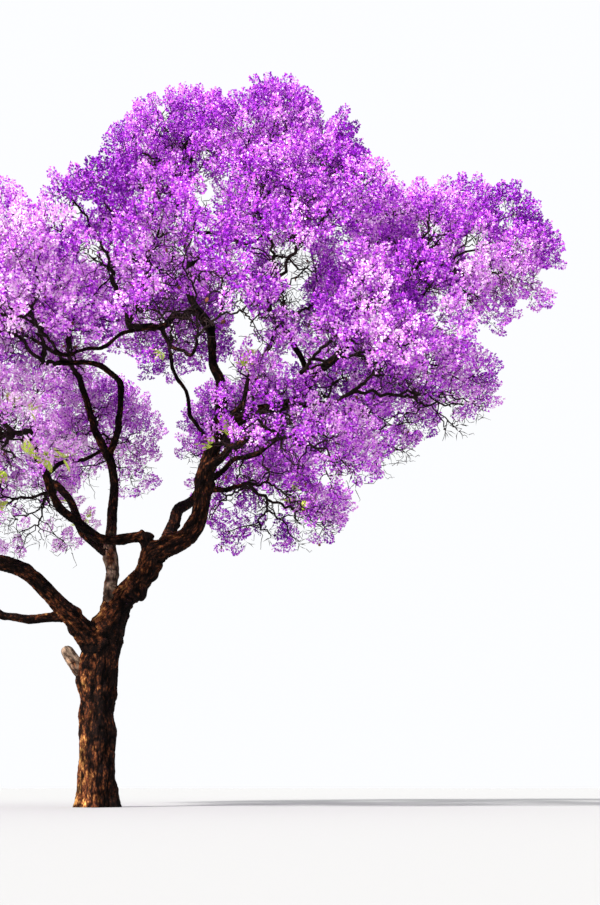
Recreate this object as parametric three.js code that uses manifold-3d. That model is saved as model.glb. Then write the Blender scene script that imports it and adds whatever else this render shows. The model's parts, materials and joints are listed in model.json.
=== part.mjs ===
// A jacaranda tree in full blossom: trunk, boughs and masses of blossom, each its own solid.
// Millimetres, +Z up. The origin is the middle of the flat cut under the trunk, and +Y points away
// from the viewer. A bough is one tapering limb. A mass of blossom is one stem that forks into twigs
// by a seeded rule, with a pad of blossom fused on at the end of each twig.

import * as THREE from 'three';
import { mergeVertices } from 'three/addons/utils/BufferGeometryUtils.js';
import Module from 'manifold-3d';

const wasm = await Module();
wasm.setup();

// The trunk.
const TRUNK_HEIGHT = 2620;
const TRUNK_RADIUS = 275;
const TRUNK_TOP_RADIUS = 265;
const FLARE_RADIUS = 75; // how far the root flare stands out at the ground
const FLARE_HEIGHT = 320;
const TRUNK_BOW = -90; // how far the trunk bows to the left before its fork
const TRUNK_SIDES = 12;
const TRUNK_STEPS = 8;

// Every limb.
const GAP = 0.35; // clear space between two pieces that meet
const STEM_GAP = 0.4; // the same under the stem of a mass
const WOBBLE = 0.022; // how far a limb winds from its curve, as a share of its length
const MAIN_SIDES = 6;
const MAIN_STEPS = 8;
const BOUGH_SIDES = 5;
const BOUGH_STEPS = 4;
const CLEAR_SAMPLES = 25;
const SCRAP = 0.03; // a loose piece under this share of its limb, left behind the joint, is dropped

// The crown stands in rings of blossom masses round the point from which its boughs spread.
const SPREAD_FROM = new THREE.Vector3(1000, 0, 5400);
const TIERS = [
  { name: 'crest', middle: [2240, -200], height: 10580, ring: [960, 1150], count: 3, from: 177, sweep: 360,
    rise: [-0.16, 0.245], size: 1600 },
  { name: 'shoulder', middle: [1250, 0], height: 8490, ring: [3100, 3150], count: 6, from: 50, sweep: 312,
    rise: [0.24, 0.22], size: 1800 },
  { name: 'side', middle: [500, 0], height: 6865, ring: [4350, 4200], count: 10, from: 0, sweep: 360,
    rise: [0.02, 0.035], size: 1850 },
  { name: 'skirt', middle: [500, 100], height: 5400, ring: [3350, 3350], count: 4, from: 50, sweep: 360,
    rise: [0.06, 0], size: 1700 },
  { name: 'right', middle: [5325, -100], height: 8975, ring: [750, 1550], count: 3, from: 0, sweep: 360,
    rise: [0.055, 0.5], size: 1600 },
];

// The limbs that show: where each leaves its parent, how it sets off and arrives, and its thickness.
const MAIN_LIMBS = [
  { name: 'main_bough', on: 'trunk', share: 0.93, leave: [560, 0, 2200], arrive: [230, 0, 3700],
    tip: [1860, -400, 6600], root: 215, end: 105 },
  { name: 'left_bough', on: 'trunk', share: 0.9, leave: [-1850, -1520, 2430], arrive: [150, 50, 3610],
    to: 'side_6', root: 160, end: 60 },
  { name: 'low_limb', on: 'left_bough', share: 0.14, leave: [-2100, -500, -500], arrive: [-300, -1000, 2000],
    to: 'side_7', root: 75, end: 42 },
  { name: 'elbow_riser', on: 'main_bough', share: 0.3, leave: [0, -60, 250], arrive: [0, 0, 250],
    tip: [690, -330, 4230], root: 100, end: 92 },
  { name: 'elbow_arm', on: 'elbow_riser', share: 0.9, leave: [-1190, -100, -240], arrive: [-180, -760, 810],
    to: 'skirt_3', root: 92, end: 46 },
  { name: 'inner_stem', on: 'main_bough', share: 0.1, leave: [-200, 300, 1400], arrive: [-900, 200, 1500],
    to: 'shoulder_3', root: 120, end: 50 },
  { name: 'back_limb', on: 'main_bough', share: 0.42, leave: [-100, 900, 500], arrive: [200, 900, 700],
    to: 'side_3', root: 125, end: 48 },
  { name: 'back_left_limb', on: 'inner_stem', share: 0.22, leave: [-500, 500, 500], arrive: [-700, 500, 700],
    to: 'side_5', root: 90, end: 45 },
  { name: 'right_limb', on: 'main_bough', share: 0.86, leave: [1100, -150, 300], arrive: [500, 100, 1200],
    to: 'right_3', root: 100, end: 50 },
  { name: 'crown_limb', on: 'main_bough', share: 0.97, leave: [-100, 0, 1000], arrive: [250, 0, 900],
    to: 'crest_1', root: 85, end: 50 },
  { name: 'left_crown_limb', on: 'inner_stem', share: 0.62, leave: [500, -700, 1000],
    arrive: [-1100, -100, -100], to: 'shoulder_4', root: 65, end: 42 },
  { name: 'front_limb', on: 'crown_limb', share: 0.36, leave: [-350, -600, 450],
    arrive: [-600, -600, -150], to: 'shoulder_5', root: 68, end: 44 },
];

// The other boughs, one to each mass that no limb above reaches.
const BOUGH_ROOT_SHARE = 0.75; // of the parent's thickness where it leaves
const BOUGH_ROOT_MOST = 85;
const BOUGH_END_SHARE = 0.7; // of the bough's own thickness at its root, where it enters its mass
const BOUGH_END_MOST = 42;
const LEAVE_SHARES = [0.35, 0.42, 0.49, 0.56, 0.63, 0.7, 0.77, 0.84, 0.9];
const BEST_ANGLE = 45; // degrees between a bough and its parent
const LEAVE_SPACING = 260; // two boughs leave a limb at least this far apart

// A mass of blossom.
const STEM_BACK = 0.62; // the stem starts this share of the mass's size back from its middle
const MASS_FLATNESS = 0.84; // height of a mass as a share of its width
const PAD = { length: 660, width: 560, depth: 210 }; // half sizes of a pad of blossom
const PAD_LIMB_SHARE = 0.75; // how near a pad may come to a limb, as a share of its width
const PAD_SPREAD = 0.14; // how much a pad's size differs from the rest
const PADS_ROUND_MASS = 30; // pads that would cover a mass on every side
const OPEN_BACK = -0.15; // a mass has no pads on the side that faces back to its bough
const OPEN_UNDER = -0.6; // nor on its underside
const PULLED_IN = [1, 0.88, 0.76, 0.64, 0.52]; // where a pad may sit, as shares of the mass's size
const PAD_SPACING = 760; // between the middles of two pads of one mass
const TWIG_TAPER = 0.33; // a twig's thickness goes with its share of the mass's pads to this power
const FORK_SHARE = 0.45; // how far towards its pads a twig goes before it forks
const MOST_ON_TWIG = 5; // pads on the last twig and its side twigs
const LEAVE_STEP = 0.09; // side twigs leave at least this share of their twig apart
const MOST_SHARE = 0.6; // and not past this share of it, while there is room
const CELL_GAP = 25; // clear space between a mass and the border to its neighbour
const LIMB_CLEAR = 30; // clear space between blossom and a limb it doesn't grow on
const TWIG_SIDES = 3;

const UP = new THREE.Vector3(0, 0, 1);
const degrees = THREE.MathUtils.degToRad;
const vector = (values) => new THREE.Vector3(...values);

// Numbers from 0 to 1 that are the same in every run.
function seededNumbers(seed) {
  let state = seed;
  return () => {
    state = (state * 48271) % 2147483647;
    return state / 2147483647;
  };
}

// A limb's middle line: a curve that sets off and arrives as told, and winds a little on the way.
class LimbCurve extends THREE.Curve {
  constructor(start, leave, arrive, tip, wobble, seed) {
    super();
    this.base = new THREE.CubicBezierCurve3(start, start.clone().add(leave), tip.clone().sub(arrive), tip);
    const numbers = seededNumbers(seed);
    this.turns = [1 + numbers(), 2 + numbers()];
    this.phases = [numbers(), numbers()];
    const along = tip.clone().sub(start);
    this.side = new THREE.Vector3().crossVectors(along, UP).normalize();
    this.across = new THREE.Vector3().crossVectors(this.side, along).normalize();
    this.reach = wobble * along.length();
  }

  getPoint(t, target = new THREE.Vector3()) {
    this.base.getPoint(t, target);
    const held = Math.sin(Math.PI * t) * this.reach;
    const [first, second] = this.turns.map((turn, i) => Math.sin(2 * Math.PI * (turn * t + this.phases[i])));
    return target.addScaledVector(this.side, held * first).addScaledVector(this.across, held * second);
  }
}

// A closed three.js geometry as a solid.
function solidFrom(geometry) {
  const plain = geometry.clone().deleteAttribute('normal').deleteAttribute('uv');
  const merged = mergeVertices(plain, 0.001);
  const corners = merged.index.array;
  const faces = [];
  for (let i = 0; i < corners.length; i += 3) {
    const face = [corners[i], corners[i + 1], corners[i + 2]];
    if (new Set(face).size === 3) faces.push(...face);
  }
  return new wasm.Manifold(new wasm.Mesh({
    numProp: 3,
    vertProperties: merged.attributes.position.array,
    triVerts: new Uint32Array(faces),
  }));
}

// A solid as a three.js geometry.
function geometryFrom(solid) {
  const mesh = solid.getMesh();
  return new THREE.BufferGeometry()
    .setAttribute('position', new THREE.BufferAttribute(mesh.vertProperties, 3))
    .setIndex(new THREE.BufferAttribute(mesh.triVerts, 1));
}

// A cylinder bent along a curve, with its radius given by how far along and how far round it is.
function bentCylinder(curve, radiusAt, sides, steps, extra = 0) {
  const geometry = new THREE.CylinderGeometry(1, 1, 1, sides, steps);
  const frames = curve.computeFrenetFrames(steps);
  const position = geometry.attributes.position;
  for (let i = 0; i < position.count; i += 1) {
    const step = Math.round((position.getY(i) + 0.5) * steps);
    const share = step / steps;
    const middle = curve.getPointAt(share);
    const end = step === 0 ? -1 : step === steps ? 1 : 0;
    middle.addScaledVector(frames.tangents[step], end * extra);
    const out = new THREE.Vector2(position.getX(i), position.getZ(i));
    const far = out.length() > 0.5 ? radiusAt(share, Math.atan2(out.y, out.x)) + extra : 0;
    out.normalize().multiplyScalar(far);
    middle.addScaledVector(frames.normals[step], out.x).addScaledVector(frames.binormals[step], -out.y);
    if (Math.abs(middle.z) < 0.01) middle.z = 0; // the cut under the trunk is flat
    position.setXYZ(i, middle.x, middle.y, middle.z);
  }
  return solidFrom(geometry);
}

// The centre, stem and size of each mass, ring by ring.
function placeMasses() {
  const masses = new Map();
  for (const tier of TIERS) {
    for (let i = 0; i < tier.count; i += 1) {
      const angle = degrees(tier.from + (tier.sweep * i) / tier.count);
      const [right, back] = [tier.ring[0] * Math.cos(angle), tier.ring[1] * Math.sin(angle)];
      const rise = right * tier.rise[0] + back * tier.rise[1];
      const centre = new THREE.Vector3(tier.middle[0] + right, tier.middle[1] + back, tier.height + rise);
      const outward = centre.clone().sub(SPREAD_FROM).normalize();
      const stem = centre.clone().addScaledVector(outward, -STEM_BACK * tier.size);
      const name = `${tier.name}_${i + 1}`;
      masses.set(name, { name, centre, outward, stem, size: tier.size, seed: 11 + 7 * masses.size });
    }
  }
  return masses;
}

// The trunk's middle line starts straight up, bows to the left and ends under its fork.
function trunkCurve() {
  const foot = new THREE.Vector3();
  const fork = new THREE.Vector3(20, 0, TRUNK_HEIGHT);
  const leave = new THREE.Vector3(0, 0, TRUNK_HEIGHT / 3);
  const arrive = new THREE.Vector3(-TRUNK_BOW, 0, TRUNK_HEIGHT / 3);
  return new LimbCurve(foot, leave, arrive, fork, 0, 1);
}

// Root flare at the foot, five shallow flutes up the stem, and a rounded shoulder at the fork.
function trunkRadius(share, round) {
  const height = share * TRUNK_HEIGHT;
  const flare = FLARE_RADIUS * Math.exp(-height / FLARE_HEIGHT);
  const flutes = 1 + (0.035 + 0.1 * Math.exp(-height / FLARE_HEIGHT)) * Math.cos(5 * round + 1);
  const shoulder = share > 0.99 ? 0.72 : 1;
  return (THREE.MathUtils.lerp(TRUNK_RADIUS, TRUNK_TOP_RADIUS, share) + flare) * flutes * shoulder;
}

// A limb with what other pieces need to know of it.
function makeLimb(name, curve, radiusAt, sides, steps) {
  const samples = [];
  for (let i = 0; i < CLEAR_SAMPLES; i += 1) {
    const share = i / (CLEAR_SAMPLES - 1);
    samples.push({ point: curve.getPointAt(share), radius: radiusAt(share, 0) });
  }
  return {
    name, curve, radiusAt, samples,
    solid: bentCylinder(curve, radiusAt, sides, steps),
    grown: bentCylinder(curve, radiusAt, sides, steps, GAP),
    taken: [],
  };
}

// A limb tapers quickly past the collar at its root and then evenly to its end.
function limbRadius(root, end) {
  return (share) => THREE.MathUtils.lerp(root, end, share ** 0.8);
}

// Cuts a limb back from the limbs that were made before it, so that it seats on its parent.
function seat(limb, limbs) {
  for (const other of limbs.values()) {
    limb.solid = limb.solid.subtract(other.grown);
  }
  const bodies = limb.solid.decompose().sort((a, b) => b.volume() - a.volume());
  if (bodies.length > 1 && bodies[1].volume() > SCRAP * bodies[0].volume()) {
    throw new Error(`${limb.name} is cut in two by the limbs round it`);
  }
  limb.solid = bodies[0];
  limbs.set(limb.name, limb);
}

// How far a point is from the nearest limb's bark, leaving out the limbs named.
function clearOfLimbs(point, limbs, except) {
  let least = Infinity;
  for (const limb of limbs.values()) {
    if (except.includes(limb.name)) continue;
    for (const sample of limb.samples) {
      least = Math.min(least, point.distanceTo(sample.point) - sample.radius);
    }
  }
  return least;
}

// Trunk and main limbs, each seated on the one it leaves.
function makeMainLimbs(masses) {
  const limbs = new Map();
  seat(makeLimb('trunk', trunkCurve(), trunkRadius, TRUNK_SIDES, TRUNK_STEPS), limbs);
  MAIN_LIMBS.forEach((row, i) => {
    const parent = limbs.get(row.on);
    const start = parent.curve.getPointAt(row.share);
    const tip = row.to ? masses.get(row.to).stem : vector(row.tip);
    const curve = new LimbCurve(start, vector(row.leave), vector(row.arrive), tip, WOBBLE, 101 + 13 * i);
    const limb = makeLimb(row.name, curve, limbRadius(row.root, row.end), MAIN_SIDES, MAIN_STEPS);
    seat(limb, limbs);
    parent.taken.push(start);
    if (row.to) masses.get(row.to).bough = limb;
  });
  return limbs;
}

// The best place on the main limbs for a bough to a mass: short, at a natural angle and in the clear.
function boughTo(mass, limbs, carriers) {
  let best = null;
  for (const parent of carriers) {
    for (const share of LEAVE_SHARES) {
      const start = parent.curve.getPointAt(share);
      const along = parent.curve.getTangentAt(share);
      const way = mass.stem.clone().sub(start);
      const length = way.length();
      const angle = THREE.MathUtils.radToDeg(along.angleTo(way));
      const crowded = parent.taken.some((other) => other.distanceTo(start) < LEAVE_SPACING);
      const cost = length * (1 + Math.abs(angle - BEST_ANGLE) / 90);
      if (crowded || (best && cost >= best.cost)) continue;
      const leave = along.clone().multiplyScalar(0.25 * length).addScaledVector(way, 0.12);
      const arrive = mass.outward.clone().lerp(UP, 0.25).multiplyScalar(0.3 * length);
      const curve = new LimbCurve(start, leave, arrive, mass.stem, WOBBLE, mass.seed);
      const root = Math.min(BOUGH_ROOT_MOST, BOUGH_ROOT_SHARE * parent.radiusAt(share, 0));
      const radiusAt = limbRadius(root, Math.min(BOUGH_END_MOST, BOUGH_END_SHARE * root));
      const blocked = Array.from({ length: 17 }, (_, i) => (i + 2) / 18).some((t) => (
        clearOfLimbs(curve.getPointAt(t), limbs, [parent.name]) < radiusAt(t) + LIMB_CLEAR
      ));
      if (!blocked) best = { cost, parent, start, curve, radiusAt };
    }
  }
  if (!best) throw new Error(`no limb has a clear way to ${mass.name}`);
  best.parent.taken.push(best.start);
  return makeLimb(`bough_to_${mass.name}`, best.curve, best.radiusAt, BOUGH_SIDES, BOUGH_STEPS);
}

function makeBoughs(masses, limbs) {
  const carriers = [...limbs.values()].filter((limb) => !['trunk', 'elbow_riser'].includes(limb.name));
  for (const mass of masses.values()) {
    if (mass.bough) continue;
    const limb = boughTo(mass, limbs, carriers);
    seat(limb, limbs);
    mass.bough = limb;
  }
}

// True if a point lies in a mass's own space, which ends halfway to the next mass.
function inOwnSpace(point, mass, masses) {
  for (const other of masses.values()) {
    if (other === mass) continue;
    const between = other.centre.distanceTo(mass.centre);
    const further = point.distanceToSquared(other.centre) - point.distanceToSquared(mass.centre);
    if (further / (2 * between) < CELL_GAP) return false;
  }
  return true;
}

// The places of a mass's pads, evenly round it, where they keep to its space and clear of the limbs.
function placePads(mass, masses, limbs) {
  const numbers = seededNumbers(mass.seed);
  const pads = [];
  for (let i = 0; i < PADS_ROUND_MASS; i += 1) {
    const height = 1 - (2 * i + 1) / PADS_ROUND_MASS;
    const angle = i * Math.PI * (3 - Math.sqrt(5)) + mass.seed;
    const level = Math.sqrt(1 - height * height);
    const way = new THREE.Vector3(level * Math.cos(angle), level * Math.sin(angle), height);
    const scale = 1 + PAD_SPREAD * (2 * numbers() - 1);
    const spin = 2 * Math.PI * numbers();
    if (way.dot(mass.outward) < OPEN_BACK || way.z < OPEN_UNDER) continue;
    for (const share of PULLED_IN) {
      const centre = way.clone().multiplyScalar(share * mass.size - PAD.depth);
      centre.z *= MASS_FLATNESS;
      centre.add(mass.centre);
      const outward = centre.clone().sub(mass.stem).normalize();
      const pad = { centre, outward, scale, spin };
      const crowded = pads.some((other) => other.centre.distanceTo(centre) < PAD_SPACING);
      if (!crowded && fits(pad, mass, masses, limbs)) {
        pads.push(pad);
        break;
      }
    }
  }
  return pads;
}

// A pad of blossom: a flat lump of eight faces that looks out from the stem.
function padGeometry(pad) {
  const turn = new THREE.Quaternion().setFromUnitVectors(UP, pad.outward);
  return new THREE.OctahedronGeometry(1)
    .scale(PAD.length * pad.scale, PAD.width * pad.scale, PAD.depth * pad.scale)
    .rotateZ(pad.spin)
    .applyQuaternion(turn)
    .translate(pad.centre.x, pad.centre.y, pad.centre.z);
}

// True if a pad keeps to its mass's own space and clear of every limb.
function fits(pad, mass, masses, limbs) {
  const corners = padGeometry(pad).attributes.position;
  const corner = new THREE.Vector3();
  for (let i = 0; i < corners.count; i += 1) {
    if (!inOwnSpace(corner.fromBufferAttribute(corners, i), mass, masses)) return false;
  }
  return clearOfLimbs(pad.centre, limbs, []) > PAD.width * PAD_LIMB_SHARE * pad.scale;
}

// Sorts pads along the way in which they spread most and parts them in the middle.
function partInTwo(pads) {
  const middle = meanOf(pads);
  const furthest = pads.reduce((far, pad) => (
    pad.centre.distanceTo(middle) > far.centre.distanceTo(middle) ? pad : far
  ));
  const axis = furthest.centre.clone().sub(middle);
  const sorted = [...pads].sort((a, b) => a.centre.dot(axis) - b.centre.dot(axis));
  const half = Math.ceil(sorted.length / 2);
  return [sorted.slice(0, half), sorted.slice(half)];
}

function meanOf(pads) {
  const sum = pads.reduce((total, pad) => total.add(pad.centre), new THREE.Vector3());
  return sum.divideScalar(pads.length);
}

// A straight twig. It starts from a point inside the wood that it leaves, or blunt where it's a stem.
function twig(start, end, startRadius, endRadius, blunt = false) {
  const way = end.clone().sub(start);
  const turn = new THREE.Quaternion().setFromUnitVectors(new THREE.Vector3(0, 1, 0), way.clone().normalize());
  const profile = [
    [0, 0], [startRadius, blunt ? 0 : 2 * startRadius], [endRadius, way.length()], [0, way.length()],
  ].map(([radius, height]) => new THREE.Vector2(radius, height));
  const geometry = new THREE.LatheGeometry(profile, TWIG_SIDES)
    .applyQuaternion(turn)
    .translate(start.x, start.y, start.z);
  return solidFrom(geometry);
}

// Twigs from a fork to its pads. Many pads part in two groups with a twig to each. Of a few, the
// furthest has a twig from the fork, and each of the others has one that leaves that twig on the way.
// A twig's thickness goes with how many pads it carries.
function growTwigs(fork, pads, pieces, thickness) {
  if (pads.length > MOST_ON_TWIG) {
    for (const group of partInTwo(pads)) {
      const next = fork.clone().lerp(meanOf(group), FORK_SHARE);
      const radius = thickness(group.length);
      const past = next.clone().sub(fork).setLength(radius);
      pieces.push(twig(fork, next.clone().add(past), radius * 1.15, radius));
      growTwigs(next, group, pieces, thickness);
    }
    return;
  }
  const [last, ...others] = [...pads].sort((a, b) => b.centre.distanceTo(fork) - a.centre.distanceTo(fork));
  const way = last.centre.clone().sub(fork);
  pieces.push(twig(fork, last.centre, thickness(pads.length), thickness(1)));
  const shares = others.map((pad) => {
    const beyond = pad.centre.clone().sub(fork);
    const along = beyond.dot(way) / way.length();
    const aside = Math.sqrt(Math.max(0, beyond.lengthSq() - along * along));
    return { pad, share: (along - aside) / way.length() };
  });
  shares.sort((a, b) => a.share - b.share);
  let share = 0;
  for (const item of shares) {
    share = Math.max(share + LEAVE_STEP, Math.min(item.share, MOST_SHARE));
    const start = fork.clone().addScaledVector(way, share);
    pieces.push(twig(start, item.pad.centre, thickness(1), thickness(1) * 0.8));
  }
  pieces.push(...pads.map((pad) => solidFrom(padGeometry(pad))));
}

// A mass: its stem stands on its bough's end, and everything else grows from the stem.
function makeMass(mass, masses, limbs) {
  const pads = placePads(mass, masses, limbs);
  const along = mass.bough.curve.getTangentAt(1);
  const foot = mass.stem.clone().addScaledVector(along, STEM_GAP);
  const fork = mass.stem.clone().addScaledVector(along, mass.size * 0.12);
  const stemRadius = mass.bough.radiusAt(1, 0) * 0.9;
  const top = fork.clone().addScaledVector(along, stemRadius);
  const pieces = [twig(foot, top, stemRadius, stemRadius * 0.9, true)];
  growTwigs(fork, pads, pieces, (carried) => stemRadius * (carried / pads.length) ** TWIG_TAPER);
  let whole = wasm.Manifold.union(pieces);
  for (const limb of limbs.values()) {
    if (whole.intersect(limb.grown).numTri() > 0) whole = whole.subtract(limb.grown);
  }
  return whole.decompose().sort((a, b) => b.volume() - a.volume())[0];
}

const BARK = new THREE.MeshStandardMaterial({ color: 0x4a3426, roughness: 0.95, metalness: 0 });
const BLOSSOM = new THREE.MeshStandardMaterial({ color: 0xa557d6, roughness: 0.8, metalness: 0 });

function addNode(group, name, solid, material) {
  const mesh = new THREE.Mesh(geometryFrom(solid), material);
  mesh.name = name;
  group.add(mesh);
}

function jacaranda() {
  const masses = placeMasses();
  const limbs = makeMainLimbs(masses);
  makeBoughs(masses, limbs);
  const wood = new THREE.Group();
  for (const limb of limbs.values()) addNode(wood, limb.name, limb.solid, BARK);
  const blossom = new THREE.Group();
  for (const mass of masses.values()) {
    addNode(blossom, `blossom_${mass.name}`, makeMass(mass, masses, limbs), BLOSSOM);
  }
  return new THREE.Group().add(wood, blossom);
}

export default jacaranda();
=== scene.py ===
"""A jacaranda tree in full blossom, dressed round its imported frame.

Limbs and masses follow the rule that the tree's solids were grown by, with the same named sizes,
and the rule is carried on here to finer twigs, panicles and flowers. Growing is worked out in
millimetres. Meshes are in metres.
"""

import itertools
import json
import math
from collections import namedtuple
from functools import lru_cache

import bmesh
import bpy
import numpy as np
from bpy.props import FloatProperty, FloatVectorProperty, IntProperty, PointerProperty
from bpy.types import Operator, Panel, PropertyGroup
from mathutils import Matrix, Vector

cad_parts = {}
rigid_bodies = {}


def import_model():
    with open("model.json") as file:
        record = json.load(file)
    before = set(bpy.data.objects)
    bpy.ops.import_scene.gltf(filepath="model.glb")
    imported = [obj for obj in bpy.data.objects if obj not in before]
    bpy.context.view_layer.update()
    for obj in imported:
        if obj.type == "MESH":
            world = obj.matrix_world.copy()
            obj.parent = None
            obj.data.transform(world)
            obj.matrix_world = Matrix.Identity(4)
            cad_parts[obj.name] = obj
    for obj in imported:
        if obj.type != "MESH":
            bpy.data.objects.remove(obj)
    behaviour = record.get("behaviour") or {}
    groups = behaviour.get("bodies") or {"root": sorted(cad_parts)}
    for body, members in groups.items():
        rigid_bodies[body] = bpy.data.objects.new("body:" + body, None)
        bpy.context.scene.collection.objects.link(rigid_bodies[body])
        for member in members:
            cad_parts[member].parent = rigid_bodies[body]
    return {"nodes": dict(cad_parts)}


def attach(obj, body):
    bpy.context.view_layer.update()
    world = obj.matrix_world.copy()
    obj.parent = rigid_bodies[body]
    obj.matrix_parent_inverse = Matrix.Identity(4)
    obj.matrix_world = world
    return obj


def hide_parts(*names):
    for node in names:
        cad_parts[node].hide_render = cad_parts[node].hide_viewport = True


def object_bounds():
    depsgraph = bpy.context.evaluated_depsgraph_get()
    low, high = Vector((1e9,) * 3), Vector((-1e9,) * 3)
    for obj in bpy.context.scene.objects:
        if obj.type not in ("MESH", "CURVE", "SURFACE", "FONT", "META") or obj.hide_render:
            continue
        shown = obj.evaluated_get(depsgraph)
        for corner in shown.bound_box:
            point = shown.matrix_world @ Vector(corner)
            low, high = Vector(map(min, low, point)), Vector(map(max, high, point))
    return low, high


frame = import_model()
CAD_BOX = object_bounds()

bl_info = {
    "name": "Jacaranda tree in blossom",
    "version": (1, 0, 0),
    "blender": (4, 5, 0),
    "location": "View3D > Sidebar > Jacaranda",
    "description": "Grows bark, twigs, blossom and leaves round the frame of a jacaranda tree",
    "category": "Add Mesh",
}

MM = 0.001
UP = np.array([0.0, 0.0, 1.0])
GOLDEN_TURN = math.pi * (3 - math.sqrt(5))

# The trunk, in millimetres, and its flutes: how many, and how deep as a share of its thickness.
TRUNK_HEIGHT = 2620
TRUNK_RADIUS = 275
TRUNK_TOP_RADIUS = 265
FLARE_RADIUS = 75
FLARE_HEIGHT = 320
TRUNK_BOW = -90
TRUNK_LEAN = 20
FLUTES = 5
FLUTE_DEPTH = 0.035
FLUTE_DEPTH_AT_FOOT = 0.1

# The broken stub on the trunk: start, how it sets off and arrives, end, and its radii.
STUB_CURVE = ((-150, -80, 1930), (-190, -20, 110), (-80, -10, 190), (-560, -140, 2440))
STUB_RADII = (120, 95)

# Every limb: how far it winds as a share of its length, the power of its taper, and in how many places
# its curve is worked out and set against others.
WOBBLE = 0.022
LIMB_TAPER = 0.8
CURVE_STEPS = 201
CLEAR_SAMPLES = 25

# The crown's masses, ring by ring: middle, height, ring, count, first angle, sweep, rise and size.
SPREAD_FROM = np.array([1000.0, 0.0, 5400.0])
TIERS = (
    ("crest", (2240, -200), 10580, (960, 1150), 3, 177, 360, (-0.16, 0.245), 1600),
    ("shoulder", (1250, 0), 8490, (3100, 3150), 6, 50, 312, (0.24, 0.22), 1800),
    ("side", (500, 0), 6865, (4350, 4200), 10, 0, 360, (0.02, 0.035), 1850),
    ("skirt", (500, 100), 5400, (3350, 3350), 4, 50, 360, (0.06, 0), 1700),
    ("right", (5325, -100), 8975, (750, 1550), 3, 0, 360, (0.055, 0.5), 1600),
)

# Each main limb: parent, share along it, how it sets off and arrives, its end, and its thickness.
MAIN_LIMBS = (
    ("main_bough", "trunk", 0.93, (560, 0, 2200), (230, 0, 3700), (1860, -400, 6600), 215, 105),
    ("left_bough", "trunk", 0.9, (-1850, -1520, 2430), (150, 50, 3610), "side_6", 160, 60),
    ("low_limb", "left_bough", 0.14, (-2100, -500, -500), (-300, -1000, 2000), "side_7", 75, 42),
    ("elbow_riser", "main_bough", 0.3, (0, -60, 250), (0, 0, 250), (690, -330, 4230), 100, 92),
    ("elbow_arm", "elbow_riser", 0.9, (-1190, -100, -240), (-180, -760, 810), "skirt_3", 92, 46),
    ("inner_stem", "main_bough", 0.1, (-200, 300, 1400), (-900, 200, 1500), "shoulder_3", 120, 50),
    ("back_limb", "main_bough", 0.42, (-100, 900, 500), (200, 900, 700), "side_3", 125, 48),
    ("back_left_limb", "inner_stem", 0.22, (-500, 500, 500), (-700, 500, 700), "side_5", 90, 45),
    ("right_limb", "main_bough", 0.86, (1100, -150, 300), (500, 100, 1200), "right_3", 100, 50),
    ("crown_limb", "main_bough", 0.97, (-100, 0, 1000), (250, 0, 900), "crest_1", 85, 50),
    ("left_crown_limb", "inner_stem", 0.62, (500, -700, 1000), (-1100, -100, -100), "shoulder_4", 65, 42),
    ("front_limb", "crown_limb", 0.36, (-350, -600, 450), (-600, -600, -150), "shoulder_5", 68, 44),
)

# The other boughs, one to each mass that no limb above reaches. They set off along their parent and
# toward the mass, and arrive from below, by these shares of their length.
BOUGH_ROOT_SHARE = 0.75
BOUGH_ROOT_MOST = 85
BOUGH_END_SHARE = 0.7
BOUGH_END_MOST = 42
BOUGH_ALONG = 0.25
BOUGH_TOWARD = 0.12
BOUGH_ARRIVE = 0.3
BOUGH_UPWARD = 0.25
BOUGH_CHECKS = (np.arange(17) + 2) / 18
LEAVE_SHARES = (0.35, 0.42, 0.49, 0.56, 0.63, 0.7, 0.77, 0.84, 0.9)
BEST_ANGLE = 45
LEAVE_SPACING = 260
LIMB_CLEAR = 30

# The masses of blossom. Lengths are in millimetres, and the others are shares of a mass's or puff's size.
STEM_BACK = 0.62
MASS_FLATNESS = 0.84
PUFF_LIMB_SHARE = 0.75
PUFF_SPREAD = 0.14
CELL_GAP = 25

# The share of a puff's sprays that bloom: looking sideways, what looking up adds, how much it differs
# from patch to patch, and what a puff loses below a height.
FULL_SIDEWAYS = 0.76
FULL_UP = 0.45
FULL_PATCHES = 0.9
FULL_PATCH_SIZE = 1300
FULL_LOW = 0.16
FULL_FROM = 8400
FULL_OVER = 2000
FULL_LEAST = 0.25

# How twigs part: how far on a group's fork lies, how many tips one twig carries, and how far apart and
# how far along it others leave it, as shares of its length.
FORK_SHARE = 0.45
MOST_ON_TWIG = 5
LEAVE_STEP = 0.09
MOST_SHARE = 0.6
TWIG_SHARES = np.array([0, 0.15, 0.32, 0.5, 0.68, 0.85, 1.0])

# The twigs of a mass start at its bough's end, a little thinner, and fork a little further on. A puff's
# twigs start behind its middle and end on a dome inside it, each with a spray.
TWIG_START = 0.9
MASS_FORK = 0.12
HUB_BACK = 2.1
DOME_SWEEP = 1.35
DOME_WIDTH = 0.54
DOME_HEIGHT = 0.9
DOME_DROP = 90
SPRAY_MIDDLE = 120
SPRAY_AHEAD, SPRAY_OUTWARD, SPRAY_UP = 0.8, 0.2, 0.4

# Sprays bloom in bunches of this size in millimetres. Which of a puff's sprays bloom goes by these weights
# of their bunch, of chance and of looking up. No bare twiglet grows above BARE_TO, where it would stand
# alone against the sky.
BUNCH_SIZE = 480
BUNCH_WEIGHT, CHANCE_WEIGHT, UP_WEIGHT = 1.3, 0.5, 0.5
BARE_TO = 10200

# How much more crooked thin and bare twigs are than thick ones.
THIN_CROOK, BARE_CROOK = 1.3, 1.5

# Bare sprouts: how many on a twig, the longest in millimetres, where on the twig they start, how far they
# point along it and up, and how long they are as shares of the longest.
SPROUTS_ON_TWIG = 2.2
SPROUT_LENGTH = 520
SPROUT_STARTS = (0.25, 0.95)
SPROUT_ALONG = (0.2, 0.9)
SPROUT_UP = 0.25
SPROUT_SHARES = (0.4, 1.0)

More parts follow.
